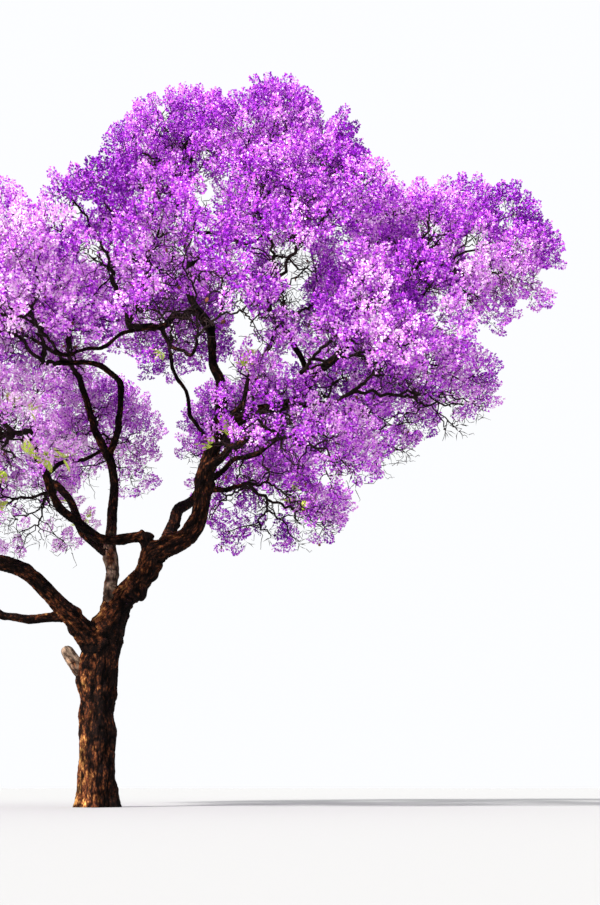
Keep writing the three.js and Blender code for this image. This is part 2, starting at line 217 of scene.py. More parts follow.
# Seeds of the random draws, and of the patterns that vary the crown from place to place.
THICK_SEED, THIN_SEED, BARE_SEED, SPRAYS_SEED = 3, 4, 5, 6
STALKS_SEED, PUFF_TONES_SEED, PODS_SEED, LEAVES_SEED, FLOWERS_SEED, PETALS_SEED = 8, 9, 12, 33, 71, 200
PATCH_PATTERN, PATCHLET_PATTERN, CLUMP_PATTERN, FULL_PATTERN, BUNCH_PATTERN = 5, 6, 7, 41, 43

# How puffs of blossom are placed round a mass: how many ways are tried, half a puff's length, width and
# depth, the least distance between puffs, how far out they are tried, the sides that stay open, the seed,
# and the sprays on each.
PuffRule = namedtuple("PuffRule", "ways half_size spacing pulled_in open_back open_under seed panicles")
BROAD_PUFFS = PuffRule(30, (660, 560, 210), 760, (1, 0.88, 0.76, 0.64, 0.52), -0.15, -0.6, 0, 17)
SMALL_PUFFS = PuffRule(64, (430, 370, 170), 540, (0.98, 0.86, 0.72, 0.58), -0.5, -0.75, 1000, 10)


def unit(vectors):
    """The vectors with their lengths made 1."""
    return vectors / np.linalg.norm(vectors, axis=-1, keepdims=True)


def two_across(ways):
    """Two directions across each way, square to it and to each other."""
    reference = np.eye(3)[np.abs(ways).argmin(axis=1)]
    first = unit(np.cross(ways, reference))
    return first, np.cross(ways, first)


def seeded_numbers(seed):
    """Numbers from 0 to 1 that are the same in every run."""
    state = seed
    while True:
        state = state * 48271 % 2147483647
        yield state / 2147483647


class LimbCurve:
    """A limb's middle line, which sets off and arrives as told and winds a little on the way."""

    def __init__(self, start, leave, arrive, tip, wobble, seed):
        start, tip = np.asarray(start, float), np.asarray(tip, float)
        self.handles = (start, start + leave, tip - arrive, tip)
        numbers = seeded_numbers(seed)
        self.turns = (1 + next(numbers), 2 + next(numbers))
        self.phases = (next(numbers), next(numbers))
        along = tip - start
        self.side = unit(np.cross(along, UP))
        self.across = unit(np.cross(self.side, along))
        self.reach = wobble * np.linalg.norm(along)
        self.steps = np.linspace(0, 1, CURVE_STEPS)
        pieces = np.linalg.norm(np.diff(self.point(self.steps), axis=0), axis=1)
        self.lengths = np.concatenate([[0], np.cumsum(pieces)])

    def point(self, t):
        """Points of the curve at its own parameter."""
        t = np.asarray(t, float)[..., None]
        a, b, c, d = self.handles
        base = a * (1 - t) ** 3 + 3 * b * t * (1 - t) ** 2 + 3 * c * t ** 2 * (1 - t) + d * t ** 3
        held = np.sin(np.pi * t) * self.reach
        first, second = (np.sin(2 * np.pi * (turn * t + phase))
                         for turn, phase in zip(self.turns, self.phases))
        return base + self.side * held * first + self.across * held * second

    def parameter(self, share):
        """The curve's own parameter at shares of its length."""
        return np.interp(np.asarray(share, float) * self.lengths[-1], self.lengths, self.steps)

    def at(self, share):
        """Points at shares of the curve's length."""
        return self.point(self.parameter(share))

    def tangent(self, share):
        """Directions of the curve at shares of its length."""
        t = self.parameter(share)
        before, after = np.maximum(t - 1e-4, 0), np.minimum(t + 1e-4, 1)
        return unit(self.point(after) - self.point(before))


class Limb:
    """A trunk, bough or limb: its curve and thickness, its parent and what leaves it."""

    def __init__(self, name, curve, radius_at, parent=None):
        self.name, self.curve, self.radius_at, self.parent = name, curve, radius_at, parent
        shares = np.linspace(0, 1, CLEAR_SAMPLES)
        self.points = curve.at(shares)
        self.radii = np.broadcast_to(radius_at(shares, 0.0), shares.shape)
        self.taken = []

    @property
    def length(self):
        """The limb's length along its curve."""
        return self.curve.lengths[-1]


class Mass:
    """The space of one mass of blossom, and the bough that carries it."""

    def __init__(self, name, centre, size, seed):
        self.name, self.centre, self.size, self.seed = name, centre, size, seed
        self.outward = unit(centre - SPREAD_FROM)
        self.stem = centre - self.outward * STEM_BACK * size
        self.bough = None


class Puff:
    """A puff of blossom in a mass, which looks out from the mass's stem."""

    def __init__(self, centre, outward, scale, spin, rule):
        self.centre, self.outward, self.scale, self.spin, self.rule = centre, outward, scale, spin, rule

    def turned(self, points):
        """Points round the puff's own middle, turned so that +Z looks outward, and moved there."""
        c, s = math.cos(self.spin), math.sin(self.spin)
        points = points @ np.array([[c, s, 0], [-s, c, 0], [0, 0, 1]])
        v = np.cross(UP, self.outward)
        cross = np.array([[0, -v[2], v[1]], [v[2], 0, -v[0]], [-v[1], v[0], 0]])
        turn = np.eye(3) + cross + cross @ cross / (1 + self.outward[2] + 1e-9)
        return points @ turn.T + self.centre

    def corners(self):
        """The six points where the puff ends on its own axes."""
        length, width, depth = np.array(self.rule.half_size) * self.scale
        return self.turned(np.array([[length, 0, 0], [-length, 0, 0], [0, width, 0], [0, -width, 0],
                                     [0, 0, depth], [0, 0, -depth]]))


def place_masses():
    """The centre, stem and size of each mass, ring by ring."""
    masses = {}
    for name, middle, height, ring, count, first, sweep, rise, size in TIERS:
        for i in range(count):
            angle = math.radians(first + sweep * i / count)
            right, back = ring[0] * math.cos(angle), ring[1] * math.sin(angle)
            centre = np.array([middle[0] + right, middle[1] + back,
                               height + right * rise[0] + back * rise[1]])
            mass = Mass(f"{name}_{i + 1}", centre, size, 11 + 7 * len(masses))
            masses[mass.name] = mass
    return masses


def trunk_radius(share, turn):
    """Root flare at the foot, five shallow flutes up the stem, and an even taper."""
    height = share * TRUNK_HEIGHT
    flare = np.exp(-height / FLARE_HEIGHT)
    flutes = 1 + (FLUTE_DEPTH + FLUTE_DEPTH_AT_FOOT * flare) * np.cos(FLUTES * turn + 1)
    return (TRUNK_RADIUS + (TRUNK_TOP_RADIUS - TRUNK_RADIUS) * share + FLARE_RADIUS * flare) * flutes


def limb_radius(root, end):
    """A limb tapers quickly past its root and then evenly to its end."""
    return lambda share, turn: root + (end - root) * share ** LIMB_TAPER


def clear_of_limbs(points, limbs, without=""):
    """How far each point is from the nearest limb's bark, leaving out one limb."""
    least = np.full(len(points), np.inf)
    for limb in limbs.values():
        if limb.name != without:
            gaps = np.linalg.norm(points[:, None] - limb.points, axis=2) - limb.radii
            least = np.minimum(least, gaps.min(axis=1))
    return least


def make_main_limbs(masses):
    """The trunk and the main limbs, each leaving its parent."""
    third = TRUNK_HEIGHT / 3
    top = (TRUNK_LEAN, 0, TRUNK_HEIGHT)
    curve = LimbCurve((0, 0, 0), (0, 0, third), (-TRUNK_BOW, 0, third), top, 0, 1)
    limbs = {"trunk": Limb("trunk", curve, trunk_radius)}
    for i, (name, on, share, leave, arrive, end, thick, thin) in enumerate(MAIN_LIMBS):
        parent = limbs[on]
        start = parent.curve.at(share)
        tip = masses[end].stem if isinstance(end, str) else end
        curve = LimbCurve(start, leave, arrive, tip, WOBBLE, 101 + 13 * i)
        limbs[name] = Limb(name, curve, limb_radius(thick, thin), parent)
        parent.taken.append(start)
        if isinstance(end, str):
            masses[end].bough = limbs[name]
    return limbs


def bough_to(mass, limbs, carriers):
    """The best bough from the main limbs to a mass: short, at a natural angle and in the clear."""
    best, least = None, math.inf
    for parent in carriers:
        for share in LEAVE_SHARES:
            start, along = parent.curve.at(share), parent.curve.tangent(share)
            way = mass.stem - start
            length = np.linalg.norm(way)
            angle = math.degrees(math.acos(np.clip(along @ way / length, -1, 1)))
            cost = length * (1 + abs(angle - BEST_ANGLE) / 90)
            crowded = any(np.linalg.norm(other - start) < LEAVE_SPACING for other in parent.taken)
            if crowded or cost >= least:
                continue
            leave = along * BOUGH_ALONG * length + way * BOUGH_TOWARD
            arrive = (mass.outward + (UP - mass.outward) * BOUGH_UPWARD) * BOUGH_ARRIVE * length
            curve = LimbCurve(start, leave, arrive, mass.stem, WOBBLE, mass.seed)
            root = min(BOUGH_ROOT_MOST, BOUGH_ROOT_SHARE * parent.radius_at(share, 0.0))
            radius_at = limb_radius(root, min(BOUGH_END_MOST, BOUGH_END_SHARE * root))
            room = clear_of_limbs(curve.at(BOUGH_CHECKS), limbs, parent.name)
            if (room >= radius_at(BOUGH_CHECKS, 0.0) + LIMB_CLEAR).all():
                best, least = Limb(f"bough_to_{mass.name}", curve, radius_at, parent), cost
    if best is None:
        raise RuntimeError(f"no limb has a clear way to {mass.name}")
    best.parent.taken.append(best.curve.at(0.0))
    return best


def make_boughs(masses, limbs):
    """A bough to each mass that no main limb reaches."""
    carriers = [limb for limb in limbs.values() if limb.name not in ("trunk", "elbow_riser")]
    for mass in masses.values():
        if mass.bough is None:
            mass.bough = bough_to(mass, limbs, carriers)
            limbs[mass.bough.name] = mass.bough


def in_own_space(points, mass, masses):
    """True if all the points lie in a mass's own space, which ends halfway to the next mass."""
    others = np.array([other.centre for other in masses.values() if other is not mass])
    between = np.linalg.norm(others - mass.centre, axis=1)
    far = ((points[:, None] - others) ** 2).sum(axis=2)
    near = ((points - mass.centre) ** 2).sum(axis=1)[:, None]
    return ((far - near) / (2 * between) >= CELL_GAP).all()


def place_puffs(mass, masses, limbs, rule, puffs):
    """The places of a mass's puffs, evenly round it, where they keep to its space and off the limbs."""
    numbers = seeded_numbers(mass.seed + rule.seed)
    puffs = list(puffs)
    for i in range(rule.ways):
        height = 1 - (2 * i + 1) / rule.ways
        angle = i * GOLDEN_TURN + mass.seed
        level = math.sqrt(1 - height * height)
        way = np.array([level * math.cos(angle), level * math.sin(angle), height])
        scale = 1 + PUFF_SPREAD * (2 * next(numbers) - 1)
        spin = 2 * math.pi * next(numbers)
        if way @ mass.outward < rule.open_back or height < rule.open_under:
            continue
        for share in rule.pulled_in:
            centre = way * (share * mass.size - rule.half_size[2])
            centre[2] *= MASS_FLATNESS
            centre += mass.centre
            puff = Puff(centre, unit(centre - mass.stem), scale, spin, rule)
            crowded = any(np.linalg.norm(other.centre - centre) < rule.spacing for other in puffs)
            if crowded or not in_own_space(puff.corners(), mass, masses):
                continue
            if clear_of_limbs(centre[None], limbs)[0] > rule.half_size[1] * PUFF_LIMB_SHARE * scale:
                puffs.append(puff)
                break
    return puffs


@lru_cache(maxsize=None)
def grown_tree():
    """Masses, limbs, and each mass's puffs."""
    masses = place_masses()
    limbs = make_main_limbs(masses)
    make_boughs(masses, limbs)
    puffs = {}
    for mass in masses.values():
        broad = place_puffs(mass, masses, limbs, BROAD_PUFFS, [])
        puffs[mass.name] = place_puffs(mass, masses, limbs, SMALL_PUFFS, broad)
    return masses, limbs, puffs


# Twigs.


def part_in_two(tips):
    """Sorts tips along the way in which they spread most and parts them in the middle."""
    middle = tips.mean(axis=0)
    axis = tips[np.argmax(np.linalg.norm(tips - middle, axis=1))] - middle
    ordered = tips[np.argsort(tips @ axis, kind="stable")]
    half = math.ceil(len(tips) / 2)
    return ordered[:half], ordered[half:]


def on_twig(line, share):
    """The point of a twig's middle line at a share of its length."""
    return np.array([np.interp(share, TWIG_SHARES, line[:, k]) for k in range(3)])


class Twigs:
    """Crooked twigs, collected with the rule that every mass and puff grows by."""

    def __init__(self, seed, crook):
        self.random = np.random.default_rng(seed)
        self.crook = crook
        self.lines, self.radii = [], []

    def add(self, start, end, start_radius, end_radius):
        """One crooked twig. Returns its middle line."""
        way = end - start
        line = start + TWIG_SHARES[:, None] * way
        sway = self.random.normal(0, self.crook * np.linalg.norm(way), line.shape)
        sway *= np.sin(np.pi * TWIG_SHARES)[:, None] ** 0.5
        line = line + sway - np.outer(sway @ way, way) / (way @ way)
        self.lines.append(line)
        self.radii.append(start_radius + (end_radius - start_radius) * TWIG_SHARES)
        return line

    def grow(self, fork, tips, thickness):
        """Twigs from a fork to its tips. Many tips part in two groups with a twig to each. Of a few,
        the furthest has a twig from the fork, and the others leave that twig on the way. A twig's
        thickness goes with how many tips it carries."""
        if len(tips) > MOST_ON_TWIG:
            for group in part_in_two(tips):
                joint = fork + (group.mean(axis=0) - fork) * FORK_SHARE
                radius = thickness(len(group))
                self.add(fork, joint, radius * 1.15, radius)
                self.grow(joint, group, thickness)
            return
        far = np.linalg.norm(tips - fork, axis=1)
        last, others = tips[far.argmax()], np.delete(tips, far.argmax(), axis=0)
        way = last - fork
        length = far.max()
        line = self.add(fork, last, thickness(len(tips)), thickness(1))
        beyond = others - fork
        along = beyond @ way / length
        aside = np.sqrt(np.maximum(0, (beyond ** 2).sum(axis=1) - along ** 2))
        wanted = (along - aside) / length
        share = 0.0
        for i in np.argsort(wanted, kind="stable"):
            share = max(share + LEAVE_STEP, min(wanted[i], MOST_SHARE))
            self.add(on_twig(line, share), others[i], thickness(1), thickness(1) * 0.8)

    def sprout(self, others, thickness):
        """Short bare twigs from the twigs of another collection."""
        for line, radii in zip(others.lines, others.radii):
            for _ in range(self.random.poisson(SPROUTS_ON_TWIG)):
                start = on_twig(line, self.random.uniform(*SPROUT_STARTS))
                along = unit(line[-1] - line[0])
                aside = unit(np.cross(along, self.random.normal(0, 1, 3)))
                way = unit(along * self.random.uniform(*SPROUT_ALONG) + aside + UP * SPROUT_UP)
                length = SPROUT_LENGTH * self.random.uniform(*SPROUT_SHARES)
                self.add(start, start + way * length, min(thickness, radii[-1]), thickness * 0.5)


def joined(*parts):
    """The points and faces of several parts as one."""
    starts = np.cumsum([0] + [len(points) for points, _ in parts])
    faces = [corners + start for (_, corners), start in zip(parts, starts)]
    return np.concatenate([points for points, _ in parts]), np.concatenate(faces)


def join_tubes(twigs, sides):
    """Points and triangles of twigs as tubes, all with as many rings, closed by a point at each end."""
    lines, radii = (np.array(part) for part in twigs)
    count, rings = radii.shape
    along = unit(np.gradient(lines, axis=1))
    whole = unit(lines[:, -1] - lines[:, 0])
    reference = np.eye(3)[np.abs(whole).argmin(axis=1)]
    first = unit(np.cross(along, reference[:, None]))
    second = np.cross(along, first)
    turns = 2 * np.pi * np.arange(sides) / sides
    ring = (first[:, :, None] * np.cos(turns)[:, None] + second[:, :, None] * np.sin(turns)[:, None])
    ring = lines[:, :, None] + ring * radii[:, :, None, None]
    start = lines[:, 0] - along[:, 0] * radii[:, :1]
    end = lines[:, -1] + along[:, -1] * radii[:, -1:]
    points = np.concatenate([start[:, None], ring.reshape(count, -1, 3), end[:, None]], axis=1)
    faces = []
    last = rings * sides + 1
    for j in range(sides):
        k = (j + 1) % sides
        faces.append((0, 1 + k, 1 + j))
        for i in range(rings - 1):
            a, b = 1 + i * sides, 1 + (i + 1) * sides
            faces += [(a + j, a + k, b + k), (a + j, b + k, b + j)]
        faces.append((last, last - sides + j, last - sides + k))
    faces = np.array(faces)[None] + (np.arange(count) * (last + 1))[:, None, None]
    return points.reshape(-1, 3), faces.reshape(-1, 3)


def join_slivers(starts, bends, ends, radii):
    """Points and triangles of thin twiglets of three sides, thickest at their bend."""
    first, second = two_across(unit(ends - starts))
    turns = 2 * np.pi * np.arange(3) / 3
    ring = first[:, None] * np.cos(turns)[:, None] + second[:, None] * np.sin(turns)[:, None]
    ring = bends[:, None] + ring * radii[:, None, None]
    points = np.concatenate([starts[:, None], ring, ends[:, None]], axis=1)
    faces = np.array([(0, 2, 1), (0, 3, 2), (0, 1, 3), (4, 1, 2), (4, 2, 3), (4, 3, 1)])
    faces = faces[None] + (np.arange(len(points)) * 5)[:, None, None]
    return points.reshape(-1, 3), faces.reshape(-1, 3)


# Openings in the blossom, where twigs, limbs and sky show: near end and far end in metres, radius, and
# the share of the sprays in it that stay bare.
OPENINGS = (
    ((2.0, -6.0, 6.4), (1.8, -1.5, 8.3), 1.6, 0.42),
    ((1.6, -5.6, 6.5), (1.2, -1.2, 8.4), 0.35, 0.95), ((3.1, -5.6, 6.5), (3.0, 4.5, 10.9), 0.41, 1),
    ((3.1, -5.6, 6.1), (3.0, 4.5, 10.2), 0.27, 1), ((2.1, -5.6, 7.4), (1.7, -0.5, 9.9), 0.18, 1),
    ((2.0, -5.8, 5.7), (1.7, -2.0, 7.1), 0.40, 0.95), ((2.5, -5.8, 5.5), (2.3, -1.8, 7.0), 0.32, 0.9),
    ((1.3, -5.8, 5.5), (0.8, -2.4, 6.8), 0.34, 0.9), ((3.0, -5.2, 5.4), (2.9, -1.8, 6.5), 0.35, 0.85),
    ((2.2, -5.2, 5.3), (1.7, 4.5, 8.5), 0.24, 1), ((1.1, -3.4, 9.9), (0.4, 2.6, 13.4), 0.14, 1),
    ((3.5, -4.5, 9.2), (3.6, 2.0, 12.9), 0.15, 1), ((3.3, -4.8, 8.4), (3.3, 0.0, 11.0), 0.17, 0.9),
    ((2.5, -5.6, 6.6), (2.4, -1.2, 8.5), 0.25, 0.9), ((4.9, -4.2, 7.6), (5.7, 3.0, 10.9), 0.24, 0.95),
    ((6.5, -3.5, 7.2), (8.2, 4.5, 10.6), 0.24, 0.8),
    ((5.4, -4.2, 7.5), (6.5, 3.0, 10.8), 0.22, 0.9), ((3.0, -5.5, 4.8), (3.0, -1.5, 6.0), 0.35, 0.8),
    ((2.6, -5.5, 4.7), (2.4, -1.5, 5.9), 0.30, 0.8), ((3.5, -5.5, 4.9), (3.6, -1.5, 6.1), 0.30, 0.8),
    ((4.8, -4.0, 5.1), (5.4, 2.0, 6.9), 0.60, 0.5), ((3.9, -4.0, 4.3), (4.2, 2.0, 5.8), 0.40, 0.4),
    ((0.9, -5.8, 4.9), (0.0, 0.5, 7.0), 0.37, 0.8), ((4.9, -4.2, 6.6), (5.3, 0.0, 8.3), 0.23, 0.8),
)

# Patches of paler and of deeper blossom, in the same form, with how pale or deep each is.
PALE_PATCHES = (
    ((2.6, -3.0, 10.35), (2.44, 2.0, 13.3), 0.5, 0.25), ((3.46, -3.0, 9.67), (3.56, 2.0, 12.43), 0.3, 0.2),
)
DEEP_PATCHES = (
    ((4.06, -3.0, 9.5), (4.33, 2.0, 12.2), 0.5, 0.45), ((6.2, -3.5, 8.2), (7.3, 2.5, 11.1), 0.45, 0.45),
    ((0.4, -4.0, 8.7), (-0.6, 2.0, 11.9), 0.5, 0.25), ((3.4, -5.0, 6.5), (3.5, -2.0, 7.7), 0.35, 0.5),
    ((4.5, -4.5, 6.4), (4.7, -2.0, 7.4), 0.30, 0.3), ((1.6, -3.5, 9.6), (1.1, 1.0, 12.1), 0.3, 0.2),
    ((-1.1, -3.0, 8.1), (-2.6, 3.0, 10.9), 0.4, 0.35),
)


def inside_rows(points, rows):
    """How far inside rows of openings or patches points in millimetres are, from 0 to each row's most."""
    inside = np.zeros(len(points))
    for near, far, radius, most in rows:
        near, way = np.array(near), np.subtract(far, near)
        share = np.clip((points * MM - near) @ way / (way @ way), 0, 1)
        gap = np.linalg.norm(points * MM - near - share[:, None] * way, axis=1) / radius
        inside = np.maximum(inside, most * np.exp(-(gap / 1.15) ** 6))
    return inside


def fullness(puff):
    """The share of a puff's sprays that bloom: most where it looks up, fewer where it looks down."""
    patches = smooth_noise(puff.centre[None] / FULL_PATCH_SIZE, FULL_PATTERN)[0] - 0.5
    low = FULL_LOW * min(max(0, (FULL_FROM - puff.centre[2]) / FULL_OVER), 1)
    share = FULL_SIDEWAYS + FULL_UP * puff.outward[2] + FULL_PATCHES * patches - low
    return float(np.clip(share, FULL_LEAST, 1))


def spray_places(puff):
    """Where the twigs of a puff end, how each one's spray points, and how far out it stands."""
    count = puff.rule.panicles
    i = np.arange(count)
    height = 1 - DOME_SWEEP * (i + 0.5) / count
    level = np.sqrt(1 - height ** 2)
    turn = i * GOLDEN_TURN + puff.spin
    ball = np.stack([level * np.cos(turn), level * np.sin(turn), height], axis=1)
    length, width, depth = np.array(puff.rule.half_size) * puff.scale
    dome = ball * [DOME_WIDTH * length, DOME_WIDTH * width, DOME_HEIGHT * depth]
    bases = puff.turned(dome - [0, 0, DOME_HEIGHT * depth + DOME_DROP])
    look = puff.turned(ball) - puff.centre
    return bases, unit(look * SPRAY_AHEAD + puff.outward * SPRAY_OUTWARD + UP * SPRAY_UP), height


def sprays_that_bloom(puff, bases, way, random):
    """Which sprays of a puff bloom: as many as its fullness tells, in bunches, and fewer in openings."""
    count = len(bases)
    bunch = BUNCH_WEIGHT * smooth_noise(bases / BUNCH_SIZE, BUNCH_PATTERN)
    bunch = bunch + CHANCE_WEIGHT * random.random(count)
    rank = np.argsort(np.argsort(-UP_WEIGHT * way[:, 2] - bunch))
    kept_open = inside_rows(bases + way * SPRAY_MIDDLE, OPENINGS)
    return (rank < round(fullness(puff) * count)) & (random.random(count) > kept_open)


@lru_cache(maxsize=None)
def grown_twigs():
    """Twigs of the masses, twigs of the puffs, bare twigs, the panicles (where each starts, how it
    points, how far out in its puff it is, and its puff's number and place), and where bare sprays
    start and how they point."""
    masses, limbs, puffs = grown_tree()
    wood = bpy.context.scene.jacaranda_twigs
    thick, thin = Twigs(THICK_SEED, wood.crook), Twigs(THIN_SEED, wood.crook * THIN_CROOK)
    bare = Twigs(BARE_SEED, wood.crook * BARE_CROOK)
    random = np.random.default_rng(SPRAYS_SEED)
    starts, ways, outs, numbers, middles, spent = [], [], [], [], [], []
    for mass in masses.values():
        along = mass.bough.curve.tangent(1.0)
        fork = mass.stem + along * mass.size * MASS_FORK
        end = float(mass.bough.radius_at(1.0, 0.0))
        thick.add(mass.stem - along * end, fork, end * 0.98, end * TWIG_START)
        own = puffs[mass.name]
        hubs = np.array([puff.centre - puff.outward * HUB_BACK * puff.rule.half_size[2] for puff in own])
        thick.grow(fork, hubs, lambda carried: TWIG_START * end * (carried / len(own)) ** wood.taper)
        root = TWIG_START * end * len(own) ** -wood.taper
        for puff, hub in zip(own, hubs):
            bases, way, height = spray_places(puff)
            thin.grow(hub, bases, lambda carried: root * (carried / len(bases)) ** wood.taper)
            blooms = sprays_that_bloom(puff, bases, way, random)
            blooming = np.flatnonzero(blooms)
            spent.append((bases[~blooms], way[~blooms]))
            starts.append(bases[blooming])
            ways.append(way[blooming])
            outs.append(height[blooming])
            numbers.append(np.full(len(blooming), len(numbers)))
            middles.append(np.tile(puff.centre, (len(blooming), 1)))
    bare.sprout(thick, wood.bare_radius / MM)
    panicles = tuple(np.concatenate(part) for part in (starts, ways, outs, numbers, middles))
    return thick, thin, bare, panicles, tuple(np.concatenate(part) for part in zip(*spent))


# Meshes and materials.

PLAIN_GLOSS = 0.08


def mesh_from(name, points, faces):
    """A mesh from arrays of points and triangles."""
    mesh = bpy.data.meshes.new(name)
    mesh.vertices.add(len(points))
    mesh.vertices.foreach_set("co", np.asarray(points, np.float32).ravel())
    mesh.loops.add(faces.size)
    mesh.loops.foreach_set("vertex_index", np.asarray(faces, np.int32).ravel())
    mesh.polygons.add(len(faces))
    mesh.polygons.foreach_set("loop_start", np.arange(0, faces.size, 3, dtype=np.int32))
    mesh.update(calc_edges=True)
    mesh.validate()
    return mesh


def add_piece(mesh, material, slot, *nodes):
    """A finished piece that rides on the tree and stands for CAD nodes."""
    piece = bpy.data.objects.new(mesh.name, mesh)
    bpy.context.scene.collection.objects.link(piece)
    mesh.materials.append(material)
    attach(piece, "root")
    if nodes:
        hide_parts(*nodes)
    return piece


def plain_material(name, colour, roughness):
    """A material of one base colour, as foliage pieces have."""
    material = bpy.data.materials.new(name)
    material.use_nodes = True
    shader = material.node_tree.nodes["Principled BSDF"]
    shader.inputs["Base Color"].default_value = (*colour, 1)
    shader.inputs["Roughness"].default_value = roughness
    shader.inputs["Specular IOR Level"].default_value = PLAIN_GLOSS
    return material


def crown_piece(name, points, faces, material, slot="bark"):
    """A joined mesh of twigs, flowers, leaves or pods, which stands for the frame's blossom masses."""
    mesh = mesh_from(name, points, faces)
    if slot == "bark":
        mesh.shade_smooth()
    else:
        mesh.shade_flat()
    masses = [node for node in frame["nodes"] if node.startswith("blossom_")]
    return add_piece(mesh, material, slot, *masses)


# Bark.


def lattice(cells, seed):
    """A number from 0 to 1 for each cell of a grid."""
    x, y, z = cells.astype(np.int64).T
    mixed = (x * 374761393 + y * 668265263 + z * 1442695041 + seed * 1274126177) & 0xFFFFFFFF
    mixed = ((mixed ^ (mixed >> 13)) * 1274126177) & 0xFFFFFFFF
    return ((mixed ^ (mixed >> 16)) & 0xFFFF) / 65535


def smooth_noise(points, seed):
    """Noise from 0 to 1 with one swell to each unit of length."""
    cells = np.floor(points)
    part = points - cells
    part = part * part * (3 - 2 * part)
    total = np.zeros(len(points))
    for corner in itertools.product((0, 1), repeat=3):
        weight = np.where(corner, part, 1 - part).prod(axis=1)
        total += weight * lattice(cells + corner, seed)
    return total


# Cracks and plates of bark: how fine and how strong what bends the cracks is, how much finer chips are
# than plates, how wide a crack is in each pattern, the share of the height that plates have, and the
# least of the chips' height that is left in a crack.
BEND_FINENESS, BEND = 0.6, 0.9
CHIP_FINENESS = (2.1, 2.1, 2.6)
PLATE_CRACK, CHIP_CRACK = 0.4, 0.5
PLATE_SHARE = 0.62
CHIP_LEAST = 0.35


def bark_plates(points, width, length, seed):
    """Height of the bark, from 0 in a crack to 1 on a plate."""
    stretched = points / (width, width, length)
    bent = np.stack([smooth_noise(stretched * BEND_FINENESS, seed + k) for k in range(3)], axis=1)
    stretched = stretched + BEND * bent
    broad = np.abs(2 * smooth_noise(stretched, seed + 3) - 1)
    chips = np.abs(2 * smooth_noise(stretched * CHIP_FINENESS, seed + 4) - 1)
    plates, chips = np.clip(broad / PLATE_CRACK, 0, 1), np.clip(chips / CHIP_CRACK, 0, 1)
    return PLATE_SHARE * plates + (1 - PLATE_SHARE) * chips * (CHIP_LEAST + (1 - CHIP_LEAST) * plates)


def ring_frames(curve, shares):
    """Middle, and two directions across, at each ring of a limb, without twist."""
    middles, tangents = curve.at(shares), curve.tangent(shares)
    axis = np.zeros(3)
    axis[2 - np.abs(tangents[0])[::-1].argmin()] = 1
    first = np.cross(tangents[0], unit(np.cross(tangents[0], axis)))
    firsts = [first]
    for before, after in zip(tangents, tangents[1:]):
        v, c = np.cross(before, after), before @ after
        first = first * c + np.cross(v, first) + v * (v @ first) / (1 + c)
        first = unit(first - after * (first @ after))
        firsts.append(first)
    firsts = np.array(firsts)
    return middles, firsts, np.cross(tangents, firsts)


# How long the rounding of the trunk's top is, as a share of its thickness, and the share of a limb's
# collar that the trunk has.
TRUNK_CAP = 0.4
TRUNK_COLLAR = 0.6

# The radius at which a bough leaves the trunk with the full neck, how much of the trunk's thickness such
# a neck has, and the radius from which bark has its full depth. What the seed of a limb's bark is raised
# by for each of its patterns.
NECK_RADIUS = 160
NECK_SHARE = 0.8
FULL_BARK_RADIUS = 220
LUMPS, FINE, BURRS, STRAY, PALE = 20, 30, 40, 50, 60

# The way from which light is painted on the bark: its lit side is painted warmer and, on the inner stem,
# paler.
BARK_LIGHT = np.array([-0.8, -0.35, 0.5])

# How large lumps, grain, burrs and pale spots are, in metres, and the noise that a burr stands up from.
LUMP_SIZE, GRAIN_SIZE, BURR_SIZE = (0.16, 0.16, 0.3), (0.03, 0.03, 0.07), (0.12, 0.12, 0.15)
PALE_SIZE = (0.07, 0.07, 0.11)
BURR_FROM = 0.66

# The least depth of bark on a thin limb, the height of bark that lies on the limb's own radius, and how
# much of its depth the grain adds.
BARK_LEAST = 0.45
BARK_LEVEL = 0.8
GRAIN_SHARE = 0.3

# Where limbs meet: how many points along each are compared, how many points of bark at a time, the most
# that bark swells by as a share of the other limb's thickness, and how soon that fades.
OTHER_POINTS, OWN_POINTS, BARK_POINTS = 90, 40, 4000
SWELL_MOST, SWELL_FADE = 0.5, 0.8

# A limb strays to a side and back over this many of its radii. It starts and stops straying over this
# share of such a stretch.
STRAY_RADII = 4
STRAY_HELD = 0.7

# How warm bark is all up the tree, and the height in metres over which that fades. How warm it is at the
# foot and at the fork besides, over what height, and where the fork is. How much of this bark has in the
# shade, how much more in the light, and by what power of the light: this is painted sunlight, warmest on
# the side that faces BARK_LIGHT.
WARMTH, WARM_HEIGHT = 0.6, 4.5
FOOT_WARMTH, FOOT_HEIGHT = 0.7, 0.75
FORK_WARMTH, FORK_HEIGHT, FORK_PLACE = 0.45, 0.45, 3.0
SHADE_WARMTH, LIT_WARMTH, LIT_POWER = 0.06, 0.96, 2.1

# How pale the inner stem is at its root and how soon that fades, what paleness it has in the shade and how
# much more in the light, which is a painted highlight on its lit side. How pale the stub is, and how soon it
# gets so.
STEM_PALE, STEM_FADE = 1.7, 4.5
SHADE_PALE, LIT_PALE = 0.25, 0.9
STUB_PALE, STUB_RISE = 0.6, 1.6

# How fine each group of limbs is: sides, rings along it, and the seed of its bark.
TRUNK_MESH, STUB_MESH = (132, 210), (44, 40)
MAIN_BOUGH_MESH, LEFT_BOUGH_MESH = (72, 300), (60, 290)
LIMB_MESH, SHORT_LIMB_MESH, BOUGH_MESH = (36, 170), (36, 40), (22, 90)
TRUNK_BARK, MAIN_BOUGHS_BARK, LIMBS_BARK, BOUGHS_BARK = 1, 2, 3, 5
SEED_STEP = 37

